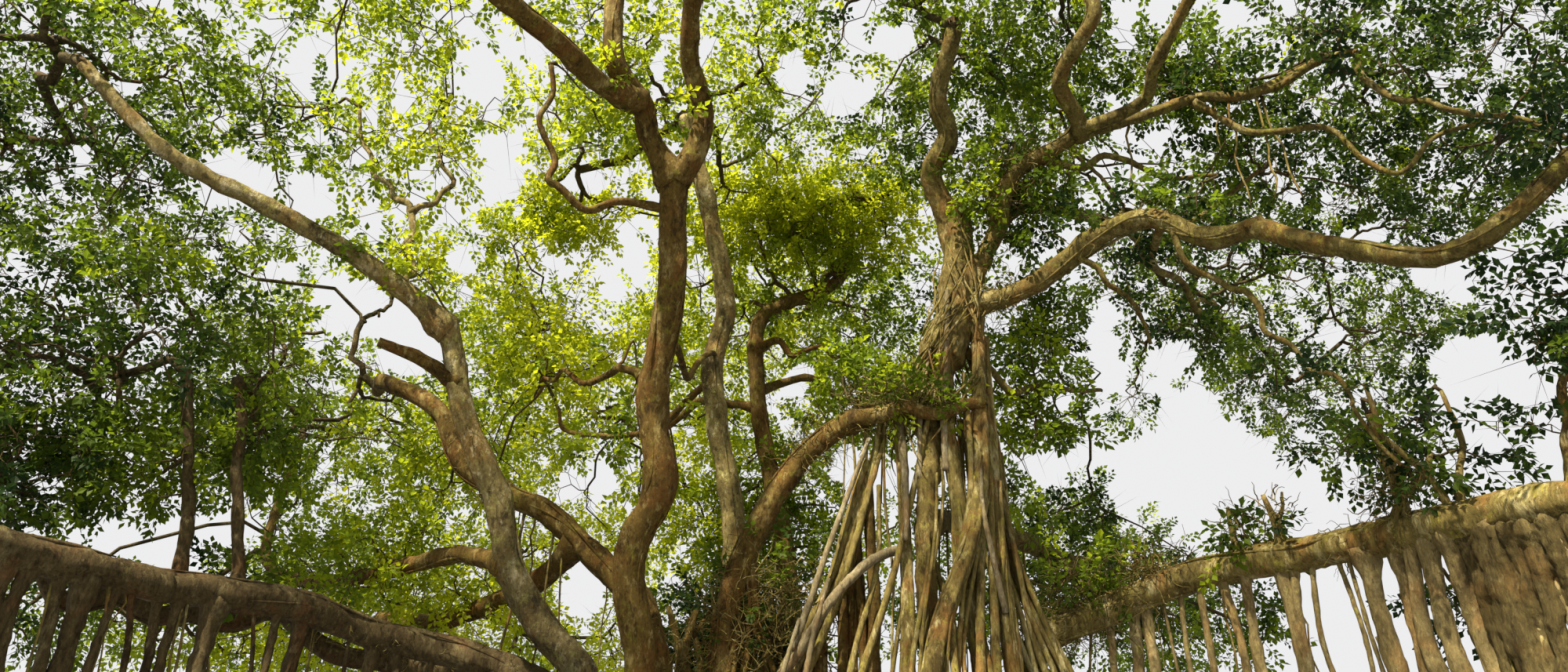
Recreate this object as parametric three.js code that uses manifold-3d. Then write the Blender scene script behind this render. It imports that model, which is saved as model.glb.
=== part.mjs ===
// A spreading banyan, about 33 m across and 17 m tall.
// It has one broad foot of fused roots, a tall trunk wrapped in hanging roots on its right side and a short
// stump on its left side that divides into leaning stems. Two low boughs reach out left and right over rows
// of pillar roots, and the crown is a ring of separate leaf masses.
// +Z is up, the front is towards -Y, and the origin is on the flat cut at ground level, under the foot.
import * as THREE from "three";
import { mergeVertices } from "three/addons/utils/BufferGeometryUtils.js";
import Module from "manifold-3d";

const wasm = await Module();
wasm.setup();

// Sizes and places below are in metres; METRE turns them into the part's millimetres.
const METRE = 1000;
const GAP = 0.3 / METRE; // left between pieces that touch
const WELD = 1e-3; // millimetres within which corners are one corner

const SIDES = 7; // round a limb
const ROOT_SIDES = 6; // round a hanging root
const STEP_LENGTH = 1.0; // of limb between two rings
const DEEPEST = -0.4; // where a root's lower end lies before the flat cut at the ground

const FOOT = { height: 3.2, half: [3.9, 2.1], topHalf: [2.5, 0.75], shift: -0.5, sides: 26, rings: 4 };
const FLUTES = { count: 7, depth: 0.11, fineCount: 12, fineDepth: 0.05 };

const bark = new THREE.MeshStandardMaterial({ color: 0x6f604a, roughness: 0.85, metalness: 0 });
const paleBark = new THREE.MeshStandardMaterial({ color: 0x8f8059, roughness: 0.8, metalness: 0 });
const leafage = new THREE.MeshStandardMaterial({ color: 0x5f7a1f, roughness: 0.6, metalness: 0 });

// Each limb: the bends of its centre line and its girth, as diameters at its foot and at its tip.
const limbs = {
  // The leaning stem at the centre left, with its fork of three.
  centre_stem: {
    bends: [[-2.75, -0.4, 3.0], [-2.5, -0.6, 4.6], [-2.7, -0.7, 6.0], [-2.35, -0.8, 7.0], [-2.5, -1.0, 8.2],
      [-2.3, -1.3, 9.4], [-2.25, -1.9, 11.3]],
    girth: [0.46, 0.37],
  },
  centre_stem_left_limb: {
    bends: [[-2.24, -1.85, 11.1], [-2.6, -2.1, 11.7], [-2.7, -2.3, 12.1], [-3.05, -2.8, 12.5],
      [-3.1, -3.0, 14.7]],
    girth: [0.32, 0.24],
  },
  centre_stem_front_limb: {
    bends: [[-2.75, -2.4, 12.1], [-3.3, -3.1, 11.95], [-3.6, -3.6, 12.0], [-4.4, -4.6, 12.15],
      [-5.3, -5.5, 12.8]],
    girth: [0.3, 0.24],
  },
  centre_stem_right_limb: {
    bends: [[-2.24, -1.85, 11.1], [-1.9, -2.0, 11.75], [-1.85, -2.1, 12.2], [-2.05, -2.5, 12.8],
      [-1.8, -3.9, 14.0]],
    girth: [0.32, 0.24],
  },
  // Two stems that rise behind it.
  rear_stem: {
    bends: [[-1.35, 0.7, 1.8], [-1.4, 2.0, 5.5], [-1.5, 2.2, 7.5], [-1.9, 2.0, 10.1], [-1.7, 2.0, 11.2],
      [-1.85, 1.9, 12.3], [-2.5, 1.4, 14.9]],
    girth: [0.4, 0.3],
  },
  back_stem: {
    bends: [[0.2, 0.6, 1.6], [-0.5, 3.2, 5.2], [-0.7, 3.7, 7.5], [-1.2, 4.0, 10.7], [-1.1, 4.3, 12.4],
      [0.1, 4.7, 13.2], [0.8, 5.4, 14.4]],
    girth: [0.4, 0.24],
  },
  // The stem that leans left, up to its bend, and what it carries.
  left_stem: {
    bends: [[-2.75, -0.4, 3.4], [-3.25, -0.5, 4.6], [-3.8, -0.5, 5.2], [-4.25, -0.6, 5.9], [-4.5, -0.7, 6.8],
      [-5.0, -0.9, 7.8], [-5.2, -1.0, 8.5], [-5.35, -1.2, 9.2]],
    girth: [0.42, 0.3],
  },
  left_stem_long_limb: {
    bends: [[-5.33, -1.15, 9.1], [-5.95, -1.5, 9.55], [-6.8, -2.0, 10.0], [-7.75, -2.5, 10.35],
      [-8.7, -3.0, 10.7], [-10.0, -3.4, 11.9]],
    girth: [0.29, 0.17],
  },
  left_stem_stub: {
    bends: [[-5.15, -0.98, 8.35], [-5.65, -1.2, 8.65], [-6.15, -1.5, 8.75]],
    girth: [0.21, 0.13],
  },
  // The low limbs between the stump and the crown's left side.
  crossing_bough: {
    bends: [[-2.3, -0.1, 3.4], [-2.5, 0.15, 5.4], [-3.4, 0.4, 6.45], [-4.1, 0.5, 7.05], [-4.7, 0.6, 7.35],
      [-5.4, 0.6, 7.8], [-5.9, 0.6, 8.7], [-6.8, 0.8, 9.25], [-7.5, 2.2, 9.8]],
    girth: [0.42, 0.2],
  },
  drooping_bough: {
    bends: [[-3.6, 0.45, 6.6], [-4.15, 1.0, 6.25], [-4.8, 1.4, 6.05], [-6.1, 2.2, 5.85], [-7.4, 3.9, 6.4],
      [-7.6, 7.8, 7.4]],
    girth: [0.3, 0.16],
  },
  level_bough: {
    bends: [[-4.28, -0.6, 5.95], [-5.1, 0.1, 6.3], [-6.65, 1.3, 6.4], [-8.0, 2.5, 6.6], [-9.6, 4.0, 7.5],
      [-9.9, 5.0, 9.9]],
    girth: [0.25, 0.14],
  },
  // The bough that arches from the middle of the foot to the trunk.
  arching_bough: {
    bends: [[-1.6, 0.1, 2.6], [-1.5, 0.2, 4.8], [-1.4, 0.3, 5.9], [-1.0, 0.3, 6.9], [-0.35, 0.2, 7.85],
      [0.4, 0.0, 8.3], [1.6, 0.0, 8.45]],
    girth: [0.4, 0.26],
  },
  // The trunk's fork and the crown's main boughs.
  upper_left_limb: {
    bends: [[2.0, 0.0, 11.6], [1.65, -0.2, 12.45], [1.9, -0.5, 13.0], [1.75, -0.8, 13.45], [2.0, -1.4, 14.4]],
    girth: [0.36, 0.26],
  },
  upper_right_limb: {
    bends: [[2.05, 0.0, 10.3], [2.6, -0.2, 11.4], [2.9, -0.5, 12.25], [3.85, -1.0, 12.75], [3.5, -1.6, 13.2],
      [3.9, -2.4, 13.8], [3.7, -2.2, 14.9]],
    girth: [0.28, 0.2],
  },
  upper_right_arm: {
    bends: [[3.8, -0.95, 12.7], [4.7, -1.6, 12.8], [4.75, -2.2, 13.0], [5.3, -3.4, 13.7], [5.9, -4.7, 13.7]],
    girth: [0.2, 0.15],
  },
  long_right_arm: {
    bends: [[3.8, -0.95, 12.65], [4.85, -1.05, 12.95], [5.65, -1.3, 13.1], [6.35, -1.5, 13.0],
      [7.4, -1.8, 13.4]],
    girth: [0.18, 0.13],
  },
  rear_right_bough: {
    bends: [[2.55, -0.18, 11.3], [2.95, -0.05, 11.85], [4.2, 0.9, 12.45], [5.6, 2.4, 13.1], [6.6, 4.4, 13.6]],
    girth: [0.2, 0.14],
  },
  right_bough: {
    bends: [[1.95, 0.0, 10.1], [2.85, -0.3, 10.25], [3.85, -1.0, 10.7], [4.45, -1.5, 10.75],
      [5.05, -2.2, 9.95], [5.5, -2.7, 9.85]],
    girth: [0.32, 0.27],
  },
  right_bough_outer: {
    bends: [[5.4, -2.6, 9.87], [5.95, -3.4, 9.05], [6.55, -4.5, 8.25], [7.0, -5.0, 8.4], [7.6, -5.5, 8.9],
      [9.0, -6.0, 9.3], [10.8, -6.1, 10.0]],
    girth: [0.27, 0.18],
  },
  rear_low_bough: {
    bends: [[1.2, -0.45, 6.5], [1.7, 1.0, 7.1], [2.8, 2.0, 7.2], [4.1, 3.6, 7.25], [5.4, 5.5, 7.9],
      [5.6, 8.6, 8.8]],
    girth: [0.33, 0.18],
  },
  // The two low boughs that reach out over their pillar roots.
  low_left_bough: {
    bends: [[-2.8, -0.3, 3.0], [-3.8, 0.2, 4.5], [-4.9, 0.4, 5.0], [-6.05, 0.0, 5.2], [-6.8, -0.8, 5.35],
      [-8.0, -2.0, 5.3]],
    girth: [0.42, 0.37],
  },
  low_left_bough_outer: {
    bends: [[-7.9, -1.9, 5.3], [-8.7, -3.0, 5.3], [-9.2, -3.8, 5.25], [-10.2, -4.9, 5.3], [-11.5, -5.6, 6.0],
      [-12.6, -5.9, 7.6]],
    girth: [0.39, 0.22],
  },
  low_right_bough: {
    bends: [[1.9, 0.1, 3.2], [2.8, 0.4, 5.2], [3.6, 0.3, 5.55], [4.85, -0.2, 5.95], [5.75, -1.0, 5.95],
      [6.4, -2.2, 5.8]],
    girth: [0.36, 0.36],
  },
  low_right_bough_outer: {
    bends: [[6.38, -2.1, 5.81], [6.95, -3.3, 5.7], [7.2, -4.2, 5.55], [7.9, -5.6, 5.4], [9.4, -7.0, 6.2],
      [11.4, -6.9, 9.6]],
    girth: [0.38, 0.2],
  },
  // Upright shoots on the low boughs.
  left_shoot: {
    bends: [[-7.9, -1.7, 5.3], [-8.05, -1.6, 6.3], [-8.2, -1.6, 6.9], [-8.5, -1.7, 8.2]],
    girth: [0.17, 0.13],
  },
  right_shoot: { bends: [[6.5, -2.4, 5.8], [6.5, -2.4, 6.4], [6.3, -2.6, 7.2]], girth: [0.15, 0.1] },
};

// Roots that hang round the trunk and stand in its foot: bends from the top down, and girth the same way.
const trunkRoots = {
  slanting_root: { bends: [[0.75, 0.0, 8.25], [0.35, -0.05, 7.0], [0.0, -0.1, 5.8], [-0.6, -0.2, 4.6],
    [-1.1, -0.6, 2.4]], girth: [0.24, 0.46] },
  left_root: { bends: [[0.9, -0.05, 8.3], [0.92, -0.2, 7.0], [0.88, -0.5, 5.3], [0.8, -0.7, 4.4],
    [0.6, -1.3, 0.8]], girth: [0.14, 0.32] },
  front_root: { bends: [[1.65, -0.2, 9.6], [1.6, -0.42, 7.8], [1.68, -0.45, 6.4], [1.75, -0.6, 4.6],
    [1.8, -1.0, 1.6]], girth: [0.24, 0.3] },
  crossing_root: { bends: [[2.2, -0.1, 9.9], [1.98, -0.5, 7.8], [1.72, -0.8, 6.3], [1.15, -1.1, 4.8],
    [0.8, -1.5, 2.6], [0.5, -2.0, DEEPEST]], girth: [0.2, 0.34] },
  right_root: { bends: [[2.3, 0.0, 9.6], [2.17, -0.35, 6.8], [2.12, -0.65, 5.1], [2.15, -0.9, 3.4],
    [2.3, -1.4, 0.6]], girth: [0.16, 0.32] },
  outer_right_root: { bends: [[2.0, 0.2, 9.6], [2.3, 0.25, 8.4], [2.4, 0.1, 6.4], [2.75, -0.1, 5.1],
    [3.2, -0.4, 3.6], [3.9, -0.9, DEEPEST]], girth: [0.14, 0.42] },
};

// Pillar roots stand under the low boughs: the share of the bough's length where each hangs, its girth,
// and how far its foot stands from the point below its top. PILLAR gives the shares of that girth at its
// ends, and what share of the lean it has at what share of its height.
const PILLAR = { topGirth: 0.9, footGirth: 1.25, stance: [[0, 1], [0.35, 0.6], [0.8, 0.25]] };
const pillarRows = {
  low_left_bough: [
    { at: 0.61, girth: 0.22, lean: [0.0, 0.05] },
    { at: 0.75, girth: 0.25, lean: [-0.05, 0.05] },
    { at: 0.9, girth: 0.28, lean: [-0.1, 0.1] },
  ],
  low_left_bough_outer: [{ at: 0.125, girth: 0.3, lean: [-0.15, -0.15] }],
  low_right_bough: [
    { at: 0.5, girth: 0.26, lean: [0.0, 0.1] },
    { at: 0.78, girth: 0.27, lean: [0.1, 0.0] },
    { at: 0.94, girth: 0.3, lean: [0.25, -0.1] },
  ],
  low_right_bough_outer: [
    { at: 0.05, girth: 0.42, lean: [0.1, -0.1] },
    { at: 0.14, girth: 0.26, lean: [0.35, -0.2] },
    { at: 0.22, girth: 0.34, lean: [0.3, -0.05] },
  ],
};

// Leaf masses: centre and half sizes. Later ones are cut back where they meet earlier ones.
const masses = {
  crown_top: { centre: [1.6, 0.6, 15.4], half: [4.4, 4.2, 2.0] },
  crown_top_left: { centre: [-4.6, 0.0, 15.0], half: [4.2, 4.2, 2.0] },
  crown_front: { centre: [0.4, -6.6, 14.0], half: [4.0, 3.6, 1.8] },
  crown_front_left: { centre: [-6.6, -6.6, 13.1], half: [4.2, 3.8, 2.0] },
  crown_front_right: { centre: [7.2, -6.2, 13.3], half: [4.2, 3.9, 2.0] },
  crown_right: { centre: [9.2, 0.0, 13.2], half: [4.0, 4.2, 2.3] },
  crown_left: { centre: [-11.2, -0.9, 12.8], half: [3.9, 4.4, 2.4] },
  crown_far_right: { centre: [12.9, -5.2, 10.2], half: [3.6, 4.0, 2.7] },
  crown_far_left: { centre: [-13.8, -5.2, 9.2], half: [3.4, 4.0, 2.8] },
  crown_back_left: { centre: [-8.2, 5.8, 11.4], half: [4.6, 4.2, 3.3] },
  crown_back: { centre: [-0.4, 7.6, 13.0], half: [4.2, 4.2, 2.9] },
  crown_back_right: { centre: [8.7, 5.9, 12.7], half: [4.6, 4.1, 2.9] },
  rear_skirt_left: { centre: [-8.0, 10.0, 8.0], half: [5.8, 3.2, 2.9] },
  rear_skirt_right: { centre: [4.9, 10.0, 8.7], half: [4.7, 3.1, 2.9] },
  left_shoot_crown: { centre: [-9.7, -1.2, 8.3], half: [3.3, 2.6, 2.1] },
  right_shoot_crown: { centre: [6.3, -2.9, 7.5], half: [1.3, 1.2, 0.85] },
};
const LOBES = { count: 3.7, depth: 0.13, fineCount: 6.1, fineDepth: 0.05, turn: 1.3 };
const UNDERSIDE = 0.8; // of the height above the middle

const SMALL_MASS = 2.0; // a mass whose half width is under this has fewer faces
const FACE_DETAIL = { large: 2, small: 1 };

const scaled = (point) => new THREE.Vector3(...point).multiplyScalar(METRE);

const lineOf = (bends) => new THREE.CatmullRomCurve3(bends.map(scaled), false, "centripetal");

// A geometry's closed surface as a solid.
function solidOf(geometry) {
  geometry.deleteAttribute("normal");
  geometry.deleteAttribute("uv");
  const welded = mergeVertices(geometry, WELD);
  return new wasm.Manifold(
    new wasm.Mesh({
      numProp: 3,
      vertProperties: welded.attributes.position.array,
      triVerts: new Uint32Array(welded.index.array),
    }),
  );
}

// Moves every corner of a geometry to where place(corner) puts it.
function moved(geometry, place) {
  const corners = geometry.attributes.position;
  const corner = new THREE.Vector3();
  for (let i = 0; i < corners.count; i++) {
    place(corner.fromBufferAttribute(corners, i));
    corners.setXYZ(i, corner.x, corner.y, corner.z);
  }
  return geometry;
}

// A round limb that follows its bends and tapers between its girths, grown outwards by grow.
function limbSolid({ bends, girth }, grow, sides = SIDES) {
  const line = lineOf(bends);
  const steps = Math.max(2, Math.round(line.getLength() / METRE / STEP_LENGTH));
  const frames = line.computeFrenetFrames(steps, false);
  const barrel = new THREE.CylinderGeometry(1, 1, 1, sides, steps);
  return solidOf(
    moved(barrel, (corner) => {
      const along = corner.y + 0.5;
      const ring = Math.round(along * steps);
      const radius = (THREE.MathUtils.lerp(girth[0], girth[1], along) / 2 + grow) * METRE;
      const [across, upward] = [corner.x * radius, -corner.z * radius];
      const endwards = ring === 0 ? -grow : ring === steps ? grow : 0;
      corner
        .copy(line.getPointAt(along))
        .addScaledVector(frames.normals[ring], across)
        .addScaledVector(frames.binormals[ring], upward)
        .addScaledVector(frames.tangents[ring], endwards * METRE);
    }),
  );
}

// Flat at the ground: what lies under it is cut off.
const cutAtGround = (solid) => solid.trimByPlane([0, 0, 1], 0);

// The broad foot: an oval that draws in from the ground to its top, with flutes between its root ridges.
function footSolid(grow) {
  const drum = new THREE.CylinderGeometry(1, 1, 1, FOOT.sides, FOOT.rings);
  return solidOf(
    moved(drum, (corner) => {
      const up = corner.y + 0.5;
      const turn = Math.atan2(corner.z, corner.x);
      const open = (1 - up) ** 2;
      const broadFlute = FLUTES.depth * open * Math.cos(FLUTES.count * turn);
      const flute = broadFlute + FLUTES.fineDepth * Math.cos(FLUTES.fineCount * turn);
      const half = FOOT.half.map((wide, i) => FOOT.topHalf[i] + (wide - FOOT.topHalf[i]) * open);
      const reach = Math.hypot(corner.x, corner.z) * (1 + flute);
      corner.set(
        (FOOT.shift * up + Math.cos(turn) * reach * (half[0] + grow)) * METRE,
        -Math.sin(turn) * reach * (half[1] + grow) * METRE,
        up * (FOOT.height + grow) * METRE,
      );
    }),
  );
}

// The trunk: the foot, the short stump on its left and the tall trunk on its right, joined into one solid.
const STUMP = [
  { bends: [[-2.7, -0.4, DEEPEST], [-2.75, -0.4, 3.7]], girth: [2.4, 0.9] },
  { bends: [[-1.5, 0.3, DEEPEST], [-1.55, 0.2, 3.6]], girth: [1.8, 0.6] },
];
const TALL_TRUNK = [
  {
    bends: [[1.2, -0.2, DEEPEST], [1.1, -0.65, 4.6], [1.15, -0.6, 5.7], [1.28, -0.35, 7.4]],
    girth: [1.2, 0.34],
  },
  { bends: [[1.27, -0.37, 7.2], [1.45, -0.1, 8.6], [1.75, 0.0, 9.6]], girth: [0.34, 0.5] },
  { bends: [[1.62, -0.03, 9.2], [1.85, 0.0, 10.0], [2.0, 0.0, 11.0], [2.0, 0.0, 12.0]], girth: [0.72, 0.42] },
  { bends: [[2.2, 0.3, DEEPEST], [2.1, 0.3, 3.4]], girth: [1.9, 0.7] },
];
function trunkSolid(grow) {
  const parts = [...STUMP, ...TALL_TRUNK].map((part) => limbSolid(part, grow));
  return cutAtGround(parts.reduce((whole, part) => whole.add(part), footSolid(grow)));
}

// A pillar root under a bough, from inside the bough down to the ground.
function pillarBends(bough, { at, lean }) {
  const top = lineOf(bough.bends).getPointAt(at).divideScalar(METRE);
  const stand = (share, z) => [top.x + lean[0] * share, top.y + lean[1] * share, z];
  return [...PILLAR.stance.map(([share, height]) => stand(share, top.z * height)), stand(1, DEEPEST)];
}

// A leaf mass: a ball drawn out to its half sizes, with shallow lobes all round and a flatter underside.
function massSolid({ centre, half }, seed, grow) {
  const detail = half[0] < SMALL_MASS ? FACE_DETAIL.small : FACE_DETAIL.large;
  const ball = new THREE.IcosahedronGeometry(1, detail);
  return solidOf(
    moved(ball, (corner) => {
      const wave = (count, i) => Math.sin(count * corner.getComponent(i) + seed * (i + LOBES.turn));
      const broad = wave(LOBES.count, 0) * wave(LOBES.count, 1) + 0.5 * wave(LOBES.count, 2);
      const fine = wave(LOBES.fineCount, 0) + wave(LOBES.fineCount, 2);
      const swell = 1 + LOBES.depth * broad + LOBES.fineDepth * fine;
      const low = corner.z < 0 ? UNDERSIDE : 1;
      const reach = (i, share = 1) => corner.getComponent(i) * swell * share * (half[i] + grow) + centre[i];
      corner.set(reach(0), reach(1), reach(2, low)).multiplyScalar(METRE);
    }),
  );
}

// The pieces in the order in which they give way: each is cut back where it meets an earlier one.
const pieces = [];
function piece(name, material, make, from) {
  pieces.push({ name, material, make, from });
}

Object.entries(masses).forEach(([name, mass], i) =>
  piece(name, leafage, (grow) => massSolid(mass, i + 1, grow), mass.centre),
);
piece("trunk", bark, trunkSolid, [0, 0, 0]);
for (const [name, limb] of Object.entries(limbs)) {
  piece(name, bark, (grow) => limbSolid(limb, grow), limb.bends[0]);
}
for (const [name, root] of Object.entries(trunkRoots)) {
  piece(name, paleBark, (grow) => cutAtGround(limbSolid(root, grow, ROOT_SIDES)), root.bends[1]);
}
for (const [bough, row] of Object.entries(pillarRows)) {
  row.forEach((pillar, i) => {
    const girth = [pillar.girth * PILLAR.topGirth, pillar.girth * PILLAR.footGirth];
    const root = { bends: pillarBends(limbs[bough], pillar), girth };
    const name = `${bough.replace("_bough", "")}_pillar_${i + 1}`;
    piece(name, paleBark, (grow) => cutAtGround(limbSolid(root, grow, ROOT_SIDES)), root.bends[1]);
  });
}

const apart = (a, b) => a.min.some((low, i) => low > b.max[i] || b.min[i] > a.max[i]);

// The body of a cut solid that lies nearest the place it grows from, leaving out specks.
const SPECK = 0.02; // of the solid's volume
function mainBody(solid, from) {
  const start = scaled(from);
  const bodies = solid.decompose().filter((body) => body.volume() > SPECK * solid.volume());
  const away = (body) => {
    const { min, max } = body.boundingBox();
    return new THREE.Box3(new THREE.Vector3(...min), new THREE.Vector3(...max)).distanceToPoint(start);
  };
  return bodies.sort((a, b) => away(a) - away(b) || b.volume() - a.volume())[0];
}

function meshOf(solid, name, material) {
  const { vertProperties, triVerts } = solid.getMesh();
  const geometry = new THREE.BufferGeometry();
  geometry.setAttribute("position", new THREE.BufferAttribute(vertProperties, 3));
  geometry.setIndex(new THREE.BufferAttribute(triVerts, 1));
  geometry.computeVertexNormals();
  const mesh = new THREE.Mesh(geometry, material);
  mesh.name = name;
  return mesh;
}

const tree = new THREE.Group();
tree.name = "banyan";
const earlier = [];
for (const { name, material, make, from } of pieces) {
  let solid = make(0);
  for (const other of earlier) {
    if (!apart(solid.boundingBox(), other.box)) solid = solid.subtract(other.grown);
  }
  tree.add(meshOf(mainBody(solid, from), name, material));
  const grown = make(GAP);
  earlier.push({ grown, box: grown.boundingBox() });
}

export default tree;
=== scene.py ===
# A spreading banyan: bark, hanging roots, pillar roots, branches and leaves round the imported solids.
# Metres, +Z up, the front towards -Y, the origin on the ground under the foot.
import math

import bmesh
import bpy
import numpy as np
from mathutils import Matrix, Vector
from mathutils.bvhtree import BVHTree


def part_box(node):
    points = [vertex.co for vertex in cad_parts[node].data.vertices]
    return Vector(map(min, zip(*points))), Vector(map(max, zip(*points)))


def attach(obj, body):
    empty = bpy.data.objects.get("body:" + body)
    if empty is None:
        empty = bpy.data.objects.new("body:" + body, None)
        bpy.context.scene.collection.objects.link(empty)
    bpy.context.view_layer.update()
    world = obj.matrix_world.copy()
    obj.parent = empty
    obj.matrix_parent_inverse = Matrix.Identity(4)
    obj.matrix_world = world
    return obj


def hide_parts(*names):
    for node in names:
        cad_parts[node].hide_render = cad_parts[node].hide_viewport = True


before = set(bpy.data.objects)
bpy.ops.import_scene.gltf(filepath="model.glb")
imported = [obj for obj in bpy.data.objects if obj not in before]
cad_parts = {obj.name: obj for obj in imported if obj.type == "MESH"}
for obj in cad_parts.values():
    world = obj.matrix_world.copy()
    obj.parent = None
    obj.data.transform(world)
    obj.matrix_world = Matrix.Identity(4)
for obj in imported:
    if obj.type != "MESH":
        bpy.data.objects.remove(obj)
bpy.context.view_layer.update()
seeded = np.random.default_rng

# Camera: under the front of the crown, looking up along +Y. Then the floor's size and the lights.
EYE = (-0.7, -15.0, 1.6)
TILT = math.radians(28.2)
LENS_MM = 26.1
SENSOR_MM = 36.0
PHOTO_SIZE = (2000, 857)
PHOTO_FOCUS = LENS_MM / SENSOR_MM * PHOTO_SIZE[0]
CLIP_END = 300.0
FLOOR_HALF = 120.0
SKY_STRENGTH = 0.86
SUN_STRENGTH = 12.0

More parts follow.
